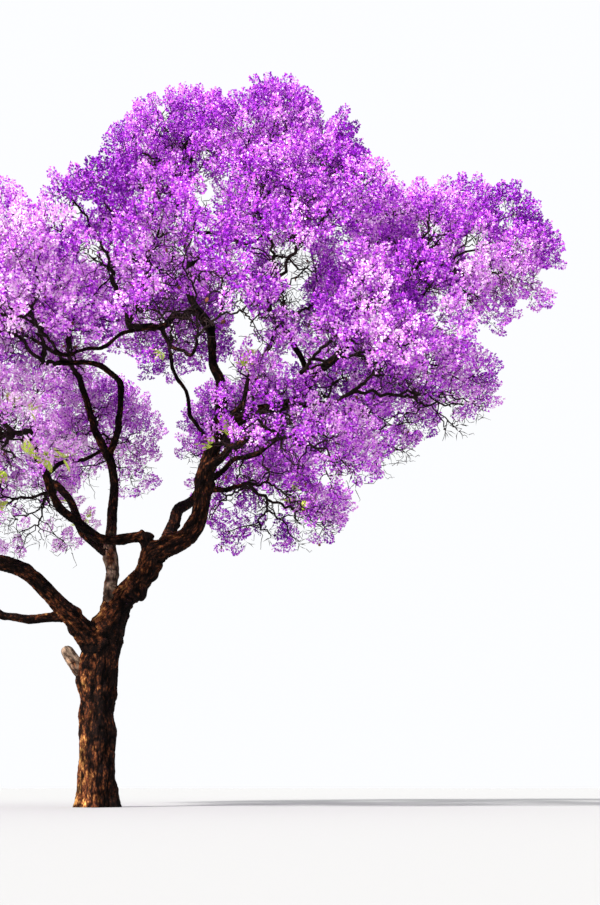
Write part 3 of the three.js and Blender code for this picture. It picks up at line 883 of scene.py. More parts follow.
# Knots and burrs: limb, share along it, side that it stands on, width and height in millimetres.
KNOTS = (
    ("trunk", 0.77, (-1, -0.35, 0), 300, 125),
    ("trunk", 0.93, (0.3, -1, 0), 120, 45),
    ("trunk", 0.55, (0.4, -1, 0), 120, 22),
    ("trunk", 0.30, (-0.2, 1, 0), 130, 28),
    ("trunk", 0.9, (0.2, 1, 0), 150, 55),
    ("main_bough", 0.215, (0.75, -0.4, -0.6), 120, 130),
    ("main_bough", 0.33, (0.9, -0.3, -0.3), 110, 60),
    ("main_bough", 0.52, (-0.8, -0.6, 0), 90, 40),
    ("main_bough", 0.66, (0.9, -0.2, 0), 110, 40),
    ("main_bough", 0.9, (0.4, -0.9, -0.2), 130, 45),
    ("left_bough", 0.12, (0.2, -0.7, 0.7), 90, 30),
    ("left_bough", 0.3, (0.2, -0.5, 0.8), 90, 30),
    ("inner_stem", 0.2, (0.6, -0.8, 0), 60, 25),
    ("right_limb", 0.2, (0, -0.6, 0.8), 60, 30),
)


def swell(points, limb, fillet):
    """How far the bark swells out where a limb joins another, for points on the limb's bark."""
    _, limbs, _ = grown_tree()
    shares = np.linspace(0, 1, OTHER_POINTS)
    own = limb.curve.at(np.linspace(0, 1, OWN_POINTS))
    swollen = np.zeros(len(points))
    for other in limbs.values():
        centres, radii = other.curve.at(shares), other.radius_at(shares, 0.0) * np.ones(OTHER_POINTS)
        apart = np.linalg.norm(own[:, None] - centres, axis=2).min()
        if other is limb or apart > limb.radii.max() + radii.max() + fillet:
            continue
        reach = min(fillet, SWELL_MOST * radii.mean())
        for first in range(0, len(points), BARK_POINTS):
            some = slice(first, first + BARK_POINTS)
            gap = (np.linalg.norm(points[some, None] - centres, axis=2) - radii).min(axis=1)
            amount = reach * np.exp(-np.clip(gap, 0, None) / (SWELL_FADE * reach))
            swollen[some] = np.maximum(swollen[some], amount)
    return swollen


def gnarled(limb, steps, gnarl, seed):
    """How far each ring of a limb strays from the limb's even line. Its two ends stay put."""
    if limb.name == "trunk":
        return np.zeros((steps + 1, 3))
    shares = np.linspace(0, 1, steps + 1)
    radius = limb.radius_at(shares, 0.0)
    turns = np.concatenate([[0], np.cumsum(limb.length / steps / (STRAY_RADII * radius[1:]))])
    places = np.stack([turns, 0 * turns, 0 * turns + 0.5], axis=1)
    stray = [2 * smooth_noise(places + (0, 7 * k, 0), seed + STRAY) - 1 for k in range(3)]
    stray = np.stack(stray, axis=1)
    held = np.clip(np.minimum(turns, turns[-1] - turns) / STRAY_HELD, 0, 1)
    return stray * (gnarl * radius * held)[:, None]


def knotted(limb, place, radius):
    """The limb's radius with its knots."""
    for name, where, side, width, rise in KNOTS:
        if name == limb.name:
            spot = limb.curve.at(where) + unit(np.array(side, float)) * limb.radius_at(where, 0.0)
            near = np.exp(-(((place - spot) ** 2).sum(axis=1) / width ** 2) ** 1.5)
            radius = radius + rise * near
    return radius


def rounded(limb, along, base, radius):
    """The limb's radius, rounded off at its end and, but for the trunk, at its root."""
    upper = (limb.length - along) / np.maximum(base * (TRUNK_CAP if limb.name == "trunk" else 1), 1)
    if limb.name != "trunk":
        radius = radius * np.sqrt(1 - (1 - np.clip(along / np.maximum(base, 1), 0, 1)) ** 2)
    return radius * np.sqrt(1 - (1 - np.clip(upper, 0, 1)) ** 2)


def pale_spots(limb, share, bark, lit, look, seed):
    """How pale the bark is: only the inner stem's lower part, with a painted highlight on its lit side, and
    the stub's broken end are.
    """
    pale = np.zeros(len(share))
    if limb.name == "inner_stem":
        pale = look.pale_limbs * np.clip(STEM_PALE - share * STEM_FADE, 0, 1)
        # A painted highlight: the inner stem is paler on its lit side.
        pale = pale * (SHADE_PALE + LIT_PALE * lit)
    if limb.name == "stub":
        pale = STUB_PALE * np.clip(share * STUB_RISE - 0.1, 0, 1)
    return pale * np.clip(3 * smooth_noise(bark / PALE_SIZE, seed + PALE) - 0.8, 0.1, 1)


def warmth_with_painted_sun(tall, lit):
    """How warm the bark is, by height in metres: most at the foot and the fork, with painted sunlight making
    it warmest on the lit side.
    """
    warm = WARMTH * np.clip(1.7 - tall / WARM_HEIGHT, 0.1, 1)
    warm = warm + FOOT_WARMTH * np.exp(-(tall / FOOT_HEIGHT) ** 2)
    warm = warm + FORK_WARMTH * np.exp(-((tall - FORK_PLACE) / FORK_HEIGHT) ** 2)
    return warm * (SHADE_WARMTH + LIT_WARMTH * lit ** LIT_POWER)


def necked(limb, along, radius, neck):
    """The limb's radius. A bough leaves the trunk nearly as thick as the trunk is, and then narrows."""
    if limb.name != "stub" and limb.parent and limb.parent.name == "trunk":
        more = NECK_SHARE * (TRUNK_TOP_RADIUS - radius.max())
        reach = neck * (radius.max() / NECK_RADIUS) ** 2
        radius = radius + more * np.exp(-(along * MM / reach) ** 2)
    return radius


def barked(limb, bark, base, radius, look, seed):
    """The limb's radius with lumps, burrs, plates and cracks, and the height of its plates."""
    shrink = np.clip(base / FULL_BARK_RADIUS, BARK_LEAST, 1)
    height = bark_plates(bark, look.plate_width * shrink.mean(), look.plate_length * shrink.mean(), seed)
    lumps = smooth_noise(bark / LUMP_SIZE, seed + LUMPS) - 0.5
    fine = smooth_noise(bark / GRAIN_SIZE, seed + FINE) - 0.5
    burrs = np.clip(smooth_noise(bark / BURR_SIZE, seed + BURRS) - BURR_FROM, 0, 1)
    burrs *= look.trunk_burrs if limb.name == "trunk" else look.burrs
    depth = look.bark_depth / MM * shrink
    radius = radius * (1 + look.lumps * lumps + burrs) + depth * (height - BARK_LEVEL + GRAIN_SHARE * fine)
    return radius, height


def close_tube(bm):
    """Joins the seam of a grid wrapped round a limb, fills its ends and turns its faces outward."""
    bmesh.ops.remove_doubles(bm, verts=bm.verts, dist=1e-4)
    open_edges = [edge for edge in bm.edges if edge.is_boundary]
    if open_edges:
        bmesh.ops.holes_fill(bm, edges=open_edges, sides=0)
    bmesh.ops.recalc_face_normals(bm, faces=bm.faces)


def limb_mesh(limb, sides, steps, look, seed):
    """A bmesh of one limb with its bark: a grid wrapped round the curve, closed at both ends."""
    bm = bmesh.new()
    bmesh.ops.create_grid(bm, x_segments=sides, y_segments=steps, size=0.5)
    grid = np.array([vert.co[:2] for vert in bm.verts]) + 0.5
    turn = 2 * np.pi * np.rint(grid[:, 0] * sides) / sides
    step = np.rint(grid[:, 1] * steps).astype(int)
    share = step / steps
    middles, firsts, seconds = ring_frames(limb.curve, np.linspace(0, 1, steps + 1))
    middles = middles + gnarled(limb, steps, look.gnarl, seed)
    out = firsts[step] * np.cos(turn)[:, None] - seconds[step] * np.sin(turn)[:, None]
    base = limb.radius_at(share, turn) * np.ones(len(share))
    along = share * limb.length
    radius = necked(limb, along, base, look.neck)
    collar = look.collar * base.max() * (TRUNK_COLLAR if limb.name == "trunk" else 1)
    radius = radius + swell(middles[step] + out * radius[:, None], limb, collar)
    mean = base.mean()
    bark = np.stack([np.cos(turn) * mean, np.sin(turn) * mean, along + 1000 * seed], axis=1) * MM
    radius, height = barked(limb, bark, base, radius, look, seed)
    radius = knotted(limb, middles[step] + out * radius[:, None], radius)
    radius = rounded(limb, along, base, radius)
    place = (middles[step] + out * radius[:, None]) * MM
    if limb.name == "trunk":
        place[step == 0, 2] = 0
    # How far each point faces BARK_LIGHT, by which sunlight is painted on the bark.
    lit = 0.5 + 0.5 * out @ unit(BARK_LIGHT)
    coords = bm.verts.layers.float_vector.new("bark_coords")
    heights = bm.verts.layers.float.new("bark_height")
    paleness = bm.verts.layers.float.new("bark_paleness")
    warmth = bm.verts.layers.float.new("bark_warmth_and_painted_sun")
    tones = (pale_spots(limb, share, bark, lit, look, seed), warmth_with_painted_sun(place[:, 2], lit))
    for vert, at, where, high, pale, warmth_and_sun in zip(bm.verts, place, bark, height, *tones):
        vert.co = at
        vert[coords] = where
        vert[heights] = high
        vert[paleness] = min(1, pale)
        vert[warmth] = warmth_and_sun
    close_tube(bm)
    return bm


def wood_piece(name, limbs, look, seed):
    """One piece of wood from several limbs, each as fine as its thickness needs."""
    whole = bmesh.new()
    for i, (limb, (sides, steps)) in enumerate(limbs):
        part = limb_mesh(limb, sides, steps, look, seed + SEED_STEP * i)
        carrier = bpy.data.meshes.new("part")
        part.to_mesh(carrier)
        part.free()
        whole.from_mesh(carrier)
        bpy.data.meshes.remove(carrier)
    mesh = bpy.data.meshes.new(name)
    whole.to_mesh(mesh)
    whole.free()
    mesh.shade_smooth()
    bark = bpy.data.materials.get("jacaranda_bark") or bark_material(look)
    nodes = [limb.name for limb, _ in limbs if limb.name in frame["nodes"]]
    return add_piece(mesh, bark, "bark", *nodes)


def add_node(tree, kind, settings=(), **inputs):
    """A shader node with its settings, and its inputs set or linked."""
    node = tree.nodes.new(kind)
    for key, value in dict(settings).items():
        setattr(node, key, value)
    for key, value in inputs.items():
        socket = node.inputs[int(key[1:]) if key[0] == "i" and key[1:].isdigit() else key.replace("_", " ")]
        if isinstance(value, bpy.types.NodeSocket):
            tree.links.new(value, socket)
        else:
            socket.default_value = value
    return node


def ramp(tree, factor, stops):
    """A colour ramp from places and colours."""
    node = add_node(tree, "ShaderNodeValToRGB", Fac=factor)
    elements = node.color_ramp.elements
    while len(elements) < len(stops):
        elements.new(0.5)
    for element, (place, colour) in zip(elements, stops):
        element.position = place
        element.color = (*colour, 1) if len(colour) == 3 else colour
    return node.outputs["Color"]


def attribute(tree, name, output="Fac"):
    """What a piece's mesh holds under a name."""
    return add_node(tree, "ShaderNodeAttribute", {"attribute_name": name}).outputs[output]


def noise(tree, place, scale, detail, roughness=0.6):
    """A noise pattern."""
    return add_node(tree, "ShaderNodeTexNoise", Vector=place, Scale=scale, Detail=detail,
                    Roughness=roughness).outputs["Fac"]


def colour_mix(tree, factor, first, second, blend="MIX"):
    """Two colours mixed or multiplied."""
    return add_node(tree, "ShaderNodeMix", {"data_type": "RGBA", "blend_type": blend},
                    i0=factor, i6=first, i7=second).outputs[2]


def calculated(tree, operation, **values):
    """The result of a Math node."""
    return add_node(tree, "ShaderNodeMath", {"operation": operation}, **values).outputs[0]


# Where the bark's colours lie on the ramp of warm and lit bark, what the grain darkens and lightens, and what
# the height of the bark does to its colour: painted shade in the cracks and painted light on the plates.
BARK_PLACES = (0.47, 0.56, 0.65, 0.78)
GRAIN_SHADE = ((0.32, (0.45, 0.45, 0.45)), (0.68, (1.25, 1.2, 1.15)))
CRACK_SHADE = ((0.12, (0.14, 0.13, 0.13)), (0.6, (0.9, 0.9, 0.9)), (1.0, (1.45, 1.4, 1.35)))


def bark_material(look):
    """Dark cracked bark with warm brown patches, painted sunlight and painted crack shade, from the limb's
    bark coordinates.
    """
    material = bpy.data.materials.new("jacaranda_bark")
    material.use_nodes = True
    tree = material.node_tree
    shader = tree.nodes["Principled BSDF"]
    stretched = add_node(tree, "ShaderNodeMapping", Vector=attribute(tree, "bark_coords", "Vector"),
                         Scale=(14, 14, 6.5)).outputs["Vector"]
    grain = noise(tree, stretched, 5.0, 6, 0.65)
    mottle = add_node(tree, "ShaderNodeMix", i0=0.5, i2=noise(tree, stretched, 0.55, 5),
                      i3=noise(tree, stretched, 2.3, 4)).outputs[0]
    warm_and_lit = calculated(tree, "MULTIPLY_ADD", i0=attribute(tree, "bark_warmth_and_painted_sun"), i1=0.17, i2=mottle)
    colours = [tuple(colour) for colour in (look.crack, look.brown, look.warm, look.tan)]
    base = ramp(tree, warm_and_lit, tuple(zip(BARK_PLACES, colours)))
    grained = colour_mix(tree, 1.0, base, ramp(tree, grain, GRAIN_SHADE), "MULTIPLY")
    # Grey of the inner stem and stub, with a painted highlight on the inner stem's lit side.
    greyed_and_lit = colour_mix(tree, attribute(tree, "bark_paleness"), grained, (*look.grey, 1))
    # Painted shade in the cracks, and painted light on the plates' tops.
    painted_crack_shade = ramp(tree, attribute(tree, "bark_height"), CRACK_SHADE)
    tree.links.new(colour_mix(tree, 1.0, greyed_and_lit, painted_crack_shade, "MULTIPLY"), shader.inputs["Base Color"])
    cells = add_node(tree, "ShaderNodeTexVoronoi", {"feature": "DISTANCE_TO_EDGE"},
                     Vector=stretched, Scale=2.2, Randomness=1.0)
    edges = calculated(tree, "MINIMUM", i0=cells.outputs["Distance"], i1=0.25)
    relief = calculated(tree, "MULTIPLY_ADD", i0=grain, i1=0.6, i2=edges)
    bump = add_node(tree, "ShaderNodeBump", Height=relief, Strength=0.8, Distance=0.02)
    tree.links.new(bump.outputs["Normal"], shader.inputs["Normal"])
    shader.inputs["Roughness"].default_value = 0.88
    shader.inputs["Specular IOR Level"].default_value = 0.05
    return material


# Blossom.

# What makes a panicle's flowers paler: looking to the light, which is painted light; lying far out in
# its puff, so that the inner ones are painted in shade; where it is in the crown, its clump and its puff;
# being in the right lobe; and being low on the left, where the paler tone is painted light on a part
# that lies in shade. What makes them deeper: being at the top of the crown, painted shade against the
# sunlight there. Then the spread from panicle to panicle and from flower to flower, what being near a
# panicle's tip adds, so that flowers near its foot are painted in shade, and how much the patches change.
TONE_LIGHT, TONE_OUT, TONE_PATCH, TONE_CLUMP, TONE_PUFF = 0.12, 0.12, 0.22, 0.5, 0.08
TONE_LOBE, TONE_LOW, TONE_CROWN = 0.17, 0.42, 0.06
TONE_PANICLES, TONE_FLOWERS, TONE_TIP = 0.08, 0.31, 0.1
TONE_PALE_PATCHES, TONE_DEEP_PATCHES = 0.6, 1.2
TONE_SUN = np.array([-0.35, -0.4, 0.85])

# How large patches and clumps of one tone are, in metres, and how the change of tone is shared between
# large and small patches. Puffs that differ further than DULL_FROM to the deep side are deeper still.
PATCH_SIZE, PATCHLET_SIZE, CLUMP_SIZE = 2.1, 0.9, 0.42
PATCH_SHARE, PATCHLET_SHARE = 0.7, 0.3
DULL_FROM, DULL_MORE = -1.0, 2.2

# Where the crown's top, the right lobe and the part low on the left begin, and over what length their tone
# sets in, in metres.
CROWN_FROM, CROWN_OVER = 4.5, 7.5
LOBE_FROM, LOBE_OVER = 4.2, 2
LEFT_OF, LOW_UNDER, LOW_OVER = 0.9, 8.8, 2

# Flowers on a panicle: from where and over what share of its length they stand, how much their places and
# turns differ, and the lowest and the highest place. How long and wide panicles are and how large flowers
# are, as shares of their usual size. How wide a panicle is at its foot, and how much narrower at its tip.
FLOWERS_FROM, FLOWERS_OVER = 0.08, 0.92
PLACE_SPREAD, TURN_SPREAD = 0.04, 0.3
PLACES = (0.02, 1.05)
PANICLE_SIZES, PANICLE_WIDTHS, FLOWER_SIZES = (0.75, 1.2), (0.6, 1.15), (0.75, 1.2)
FOOT_WIDTH, TIP_NARROWER = 1.05, 0.62

# How much a flower looks along its panicle at the foot, what its place further up adds, how far it nods,
# and how much the way it looks differs.
LOOK_ALONG, LOOK_FURTHER, NOD, LOOK_SPREAD = 0.1, 0.7, 0.12, 0.28

# Where on its length a flower is widest, and how much each of its halves differs in width.
WIDEST_AT = 0.62
PETAL_WIDTHS = (0.7, 1.3)

# The shades from deepest to palest, and the share of the flowers that has each.
SHADES = (("dusk", 0.08), ("deep", 0.09), ("violet", 0.14), ("orchid", 0.16), ("lilac", 0.19),
          ("pale", 0.2), ("pink", 0.14))


def panicle_tones(panicles, random):
    """How pale the flowers of each panicle are on the whole."""
    starts, ways, outs, numbers, middles = panicles
    across, _, tall = middles.T * MM
    patch = smooth_noise(middles * MM / PATCH_SIZE, PATCH_PATTERN) * PATCH_SHARE
    patch = patch + smooth_noise(middles * MM / PATCHLET_SIZE, PATCHLET_PATTERN) * PATCHLET_SHARE
    puff = np.random.default_rng(PUFF_TONES_SEED).normal(0, 1, numbers.max() + 1)[numbers]
    puff = puff - DULL_MORE * (puff < DULL_FROM)
    clump = smooth_noise(starts * MM / CLUMP_SIZE, CLUMP_PATTERN)
    crown = np.clip((tall - CROWN_FROM) / CROWN_OVER, 0, 1)
    lobe = np.clip((across - LOBE_FROM) / LOBE_OVER, 0, 1)
    low = np.clip((LEFT_OF - across) / LOW_OVER, 0, 1) * np.clip((LOW_UNDER - tall) / LOW_OVER, 0, 1)
    # Painted light and shade: panicles looking to TONE_SUN, far out in their puff or low on the left are
    # paler, those at the crown's top deeper.
    tone = TONE_LIGHT * (ways @ unit(TONE_SUN)) + TONE_OUT * outs + TONE_PATCH * patch
    tone = tone + TONE_CLUMP * clump + TONE_PUFF * puff
    tone += (TONE_LOBE * lobe + TONE_LOW * low - TONE_CROWN * crown
             + random.normal(0, TONE_PANICLES, len(starts)))
    pale, deep = inside_rows(starts, PALE_PATCHES), inside_rows(starts, DEEP_PATCHES)
    return tone + (TONE_PALE_PATCHES * pale - TONE_DEEP_PATCHES * deep)


def flower_arrays(panicles, look):
    """For every flower: foot, way it looks, size and shade, dealt out panicle by panicle."""
    random = np.random.default_rng(FLOWERS_SEED)
    starts, ways = panicles[0] * MM, panicles[1]
    count, each = len(starts), look.flowers
    long = look.panicle_length * random.uniform(*PANICLE_SIZES, count)
    first, second = two_across(ways)
    i = np.arange(each)
    up = FLOWERS_FROM + FLOWERS_OVER * (i + 0.5) / each
    up = np.clip(up + random.normal(0, PLACE_SPREAD, (count, each)), *PLACES)
    turn = i * GOLDEN_TURN + random.uniform(0, 2 * np.pi, (count, 1))
    turn = turn + random.normal(0, TURN_SPREAD, (count, each))
    wide = 0.5 * look.panicle_width * (FOOT_WIDTH - TIP_NARROWER * up)
    wide = wide * random.uniform(*PANICLE_WIDTHS, (count, each))
    aside = first[:, None] * np.cos(turn)[..., None] + second[:, None] * np.sin(turn)[..., None]
    feet = starts[:, None] + ways[:, None] * (up * long[:, None])[..., None]
    feet = feet + aside * (0.5 * wide)[..., None]
    look_way = aside + ways[:, None] * (LOOK_ALONG + LOOK_FURTHER * up[..., None]) - UP * NOD
    look_way = unit(look_way + random.normal(0, LOOK_SPREAD, look_way.shape))
    size = look.flower_length * random.uniform(*FLOWER_SIZES, (count, each))
    tones = panicle_tones(panicles, random)[:, None]
    # Flowers toward a panicle's foot are painted in shade.
    tones = tones + random.normal(0, TONE_FLOWERS, (count, each)) + TONE_TIP * up
    return feet.reshape(-1, 3), look_way.reshape(-1, 3), size.ravel(), tones.ravel()


def join_flowers(feet, ways, sizes, look, seed):
    """Points and faces of flowers, each a kite from its foot to its tip, folded along its middle."""
    random = np.random.default_rng(seed)
    first, second = two_across(ways)
    turn = random.uniform(0, 2 * np.pi, (len(feet), 1))
    across = first * np.cos(turn) + second * np.sin(turn)
    lift = second * np.cos(turn) - first * np.sin(turn)
    wide = 0.5 * look.flower_width / look.flower_length * sizes[:, None]
    wide = wide * random.uniform(*PETAL_WIDTHS, (len(feet), 2))
    middle = feet + ways * (WIDEST_AT * sizes)[:, None]
    left = middle + across * wide[:, :1] + lift * (look.flower_fold * wide[:, :1])
    right = middle - across * wide[:, 1:] + lift * (look.flower_fold * wide[:, 1:])
    points = np.stack([feet, left, feet + ways * sizes[:, None], right], axis=1)
    faces = np.array([(0, 1, 2), (0, 2, 3)])[None] + (np.arange(len(feet)) * 4)[:, None, None]
    return points.reshape(-1, 3), faces.reshape(-1, 3)


# Leaves.

# A leaf: where its first leaflets stand and over what share of it the others do, how far leaflets point
# ahead and aside, the longest of them and its width, how far one droops and how far the leaf does.
LEAFLETS_FROM, LEAFLETS_OVER = 0.12, 0.82
LEAFLET_AHEAD, LEAFLET_ASIDE = 0.55, 0.84
LEAFLET_LENGTH, LEAFLET_WIDTH = 0.42, 0.14
LEAFLET_DROOP, LEAF_DROOP = 0.12, 0.16


def leaf_pattern(pairs):
    """Points and faces of one feathery leaf of length 1 along X, in the XY plane, drooping a little."""
    points, faces = [], []

    def blade(foot, way, length, width):
        side = np.array([-way[1], way[0], 0])
        at = len(points)
        drop = np.array([0, 0, -LEAFLET_DROOP * length])
        points.extend([foot, foot + way * length * 0.5 + side * width, foot + way * length + drop,
                       foot + way * length * 0.5 - side * width])
        faces.extend([(at, at + 2, at + 1), (at, at + 3, at + 2)])

    for i in range(pairs):
        share = LEAFLETS_FROM + LEAFLETS_OVER * i / (pairs - 1)
        foot = np.array([share, 0, -LEAF_DROOP * share * share])
        length = LEAFLET_LENGTH * math.sin(math.pi * (0.2 + 0.72 * share))
        for sign in (-1, 1):
            way = unit(np.array([LEAFLET_AHEAD, sign * LEAFLET_ASIDE, 0.0]))
            blade(foot, way, length, LEAFLET_WIDTH * length)
    blade(np.array([0.0, 0, 0]), np.array([1.0, 0, 0]), 1.0, 0.012)
    blade(np.array([0.9, 0, -0.14]), np.array([1.0, 0, 0]), 0.2, 0.03)
    return np.array(points), np.array(faces)


# How large leaves are as shares of their usual size, and how much the way they hang differs.
LEAF_SIZES = (0.6, 1.15)
LEAF_SPREAD = 0.75

# Places where young leaves show, in metres, with how many puffs near each carry them, on how many sprays.
LEAFY_PLACES = (
    ((-0.84, -3.42, 4.58), 1, 5), ((-0.34, -2.87, 4.78), 1, 4), ((-1.03, -3.08, 5.25), 1, 6),
    ((-0.81, 2.89, 4.83), 1, 3), ((-1.4, 3.1, 5.16), 1, 3), ((-2.08, 1.0, 4.56), 2, 3),
    ((2.01, -2.77, 4.91), 1, 3), ((2.21, -2.35, 6.56), 1, 3), ((1.49, -5.05, 5.74), 1, 1),
    ((3.0, 2.8, 5.4), 2, 3), ((-4.0, 0.4, 6.2), 2, 3),
)


# The pieces and the stage.

# Twigs: sides of the thick and of the bare ones, how much thicker a thin one is at its bend, and how rough
# their wood is.
TWIG_SIDES, BARE_SIDES = 5, 3
BEND_THICKER = 1.4
WOOD_ROUGHNESS = 0.9

# The stalk of a panicle: its length as a share of the panicle's, where it bends, and how much.
STALK_SHARE = 0.85
STALK_BEND_AT = 0.4
STALK_BEND = 0.04

# Bare twiglets: where their rings lie and how thick they are there, how long and how crooked twiglets are
# as shares of a panicle's length, and how much the way they point differs and is turned up.
TWIGLET_PLACES, TWIGLET_RADII = (0, 0.35, 0.7, 1), (0.9, 0.8, 0.6, 0.35)
TWIGLET_LENGTHS = (0.35, 0.95)
TWIGLET_CROOK = 0.13
TWIGLET_SPREAD, TWIGLET_UP = 0.5, 0.4

# A seed pod: its sides and rings, how wide, flat and long it is and how far its middle hangs below its
# twig's tip, as shares of its width, and how large pods are as shares of their usual size.
POD_SIDES, POD_RINGS = 8, 5
POD_FORM = (1, 0.22, 0.9)
POD_HANG = 0.4
POD_SIZES = (0.7, 1.2)

# How far flowers may stand out past the box of the solids, in metres.
BLOSSOM_PAST_BOX = 0.05

# The stage, in metres and degrees: half the floor and its squares, how wide each light is spread and the
# way it goes, and the camera's place, its pitch above level, the width of its sensor in millimetres and
# how far it sees.
FLOOR_HALF = 300
FLOOR_SQUARES = 8
SUN = (5, (0.56, 0.62, -0.58))
FILL = (60, (0.5, 0.85, -0.1))
LIGHT_COLOUR = (1, 0.98, 0.95)
CAMERA_PLACE = (3.13, -20.0, 0.3)
CAMERA_PITCH = 14.9
SENSOR = 36
SIGHT = 2000


class JACARANDA_PG_wood(PropertyGroup):
    """Sizes and colours of the bark."""
    bark_depth: FloatProperty(name="Bark depth", description="Depth of the cracks on the trunk",
                              default=0.02, min=0, unit="LENGTH")
    plate_width: FloatProperty(name="Plate width", description="Width of a plate of bark on the trunk",
                               default=0.07, min=0.01, unit="LENGTH")
    plate_length: FloatProperty(name="Plate length", description="Length of a plate of bark on the trunk",
                                default=0.2, min=0.01, unit="LENGTH")
    lumps: FloatProperty(name="Lumps", description="How uneven a limb's thickness is, as a share of it",
                         default=0.22, min=0, max=1, subtype="FACTOR")
    burrs: FloatProperty(name="Burrs", description="How far small burrs stand out, as a share of a limb's "
                         "thickness", default=0.8, min=0, max=3, subtype="FACTOR")
    trunk_burrs: FloatProperty(name="Trunk burrs", description="The same for the burrs on the trunk",
                               default=0.2, min=0, max=3, subtype="FACTOR")
    neck: FloatProperty(name="Neck", description="How far up a bough the trunk's thickness runs on",
                        default=0.42, min=0.05, unit="LENGTH")
    gnarl: FloatProperty(name="Gnarl", description="How far a limb strays from its even line, as a share "
                         "of its thickness", default=0.4, min=0, max=0.6, subtype="FACTOR")
    collar: FloatProperty(name="Collar", description="Radius of the hollow where two limbs meet, as a "
                          "share of a limb's thickness", default=0.32, min=0, max=1, subtype="FACTOR")
    pale_limbs: FloatProperty(name="Paleness", description="How grey the inner stem is",
                              default=0.65, min=0, max=1, subtype="FACTOR")
    crack: FloatVectorProperty(name="Cracks", description="Colour of the darkest bark", size=3,
                               default=(0.004, 0.0025, 0.0025), min=0, max=1, subtype="COLOR")
    brown: FloatVectorProperty(name="Brown", description="Colour of most bark", size=3,
                               default=(0.016, 0.007, 0.005), min=0, max=1, subtype="COLOR")
    # Warm brown and tan are reached where the bark's warmth and the painted sunlight on its lit side raise it
    # on the ramp.
    warm: FloatVectorProperty(name="Warm brown", description="Colour of rubbed bark", size=3,
                              default=(0.12, 0.036, 0.014), min=0, max=1, subtype="COLOR")
    tan: FloatVectorProperty(name="Tan", description="Colour of the palest flakes", size=3,
                             default=(0.62, 0.32, 0.1), min=0, max=1, subtype="COLOR")
    grey: FloatVectorProperty(name="Grey", description="Colour of the inner stem", size=3,
                              default=(0.4, 0.28, 0.2), min=0, max=1, subtype="COLOR")


class JACARANDA_PG_twigs(PropertyGroup):
    """Sizes and colours of the twigs."""
    taper: FloatProperty(name="Taper", description="The power by which a twig's thickness goes with "
                         "its share of the tips", default=0.33, min=0.1, max=0.6, subtype="FACTOR")
    stalk_radius: FloatProperty(name="Stalk", description="Radius of the stalk of one panicle",
                                default=0.007, min=0.001, unit="LENGTH")
    bare_share: FloatProperty(name="Bare twiglets", description="The share of the sprays without flowers "
                              "that have a twiglet", default=0.4, min=0, max=1, subtype="FACTOR")
    bare_radius: FloatProperty(name="Bare twig", description="Radius of a short bare twig at its root",
                               default=0.0095, min=0.001, unit="LENGTH")
    crook: FloatProperty(name="Crook", description="How crooked twigs are, as a share of their length",
                         default=0.06, min=0, max=0.3, subtype="FACTOR")
    dark: FloatVectorProperty(name="Boughs in the crown", description="Colour of the thick twigs", size=3,
                              default=(0.012, 0.007, 0.006), min=0, max=1, subtype="COLOR")
    light: FloatVectorProperty(name="Sprays", description="Colour of the thin twigs", size=3,
                               default=(0.03, 0.017, 0.018), min=0, max=1, subtype="COLOR")
    pod: FloatProperty(name="Pod", description="Width of a seed pod",
                       default=0.065, min=0.01, unit="LENGTH")
    pods: IntProperty(name="Pods", description="Seed pods in the whole crown", default=170, min=0)
    pod_brown: FloatVectorProperty(name="Pod brown", description="Colour of the seed pods", size=3,
                                   default=(0.13, 0.045, 0.025), min=0, max=1, subtype="COLOR")


class JACARANDA_PG_blossom(PropertyGroup):
    """Sizes and colours of the blossom."""
    flowers: IntProperty(name="Flowers", description="Flowers on one panicle", default=78, min=1)
    panicle_length: FloatProperty(name="Panicle length", description="Length of a panicle",
                                  default=0.27, min=0.05, unit="LENGTH")
    panicle_width: FloatProperty(name="Panicle width", description="Width of a panicle",
                                 default=0.36, min=0.05, unit="LENGTH")
    flower_length: FloatProperty(name="Flower length", description="Length of a flower",
                                 default=0.043, min=0.01, unit="LENGTH")
    flower_width: FloatProperty(name="Flower width", description="Width of a flower",
                                default=0.037, min=0.01, unit="LENGTH")
    flower_fold: FloatProperty(name="Flower fold", description="How far a flower's sides fold up, as a share "
                               "of its width", default=1.2, min=0, max=3, subtype="FACTOR")
    dusk: FloatVectorProperty(name="Dusk violet", description="Colour of the deepest flowers", size=3,
                              default=(0.19, 0.012, 0.34), min=0, max=1, subtype="COLOR")
    deep: FloatVectorProperty(name="Deep violet", description="Colour of deep flowers", size=3,
                              default=(0.34, 0.022, 0.58), min=0, max=1, subtype="COLOR")
    violet: FloatVectorProperty(name="Violet", description="Colour of violet flowers", size=3,
                                default=(0.47, 0.04, 0.72), min=0, max=1, subtype="COLOR")
    orchid: FloatVectorProperty(name="Orchid", description="Colour of orchid flowers", size=3,
                                default=(0.62, 0.11, 0.8), min=0, max=1, subtype="COLOR")
    lilac: FloatVectorProperty(name="Lilac", description="Colour of lilac flowers", size=3,
                               default=(0.76, 0.26, 0.86), min=0, max=1, subtype="COLOR")
    pale: FloatVectorProperty(name="Pale lilac", description="Colour of pale flowers", size=3,
                              default=(0.88, 0.46, 0.92), min=0, max=1, subtype="COLOR")
    pink: FloatVectorProperty(name="Pink lilac", description="Colour of the palest flowers", size=3,
                              default=(0.96, 0.76, 0.97), min=0, max=1, subtype="COLOR")


class JACARANDA_PG_leaves(PropertyGroup):
    """Sizes and colour of the leaves."""
    length: FloatProperty(name="Leaf length", description="Length of a feathery leaf",
                          default=0.2, min=0.05, unit="LENGTH")
    pairs: IntProperty(name="Pairs", description="Pairs of leaflets on a leaf", default=8, min=2)
    in_tuft: IntProperty(name="In a tuft", description="Leaves in one tuft", default=4, min=1)
    green: FloatVectorProperty(name="Leaf", description="Colour of the leaves", size=3,
                               default=(0.55, 0.7, 0.09), min=0, max=1, subtype="COLOR")


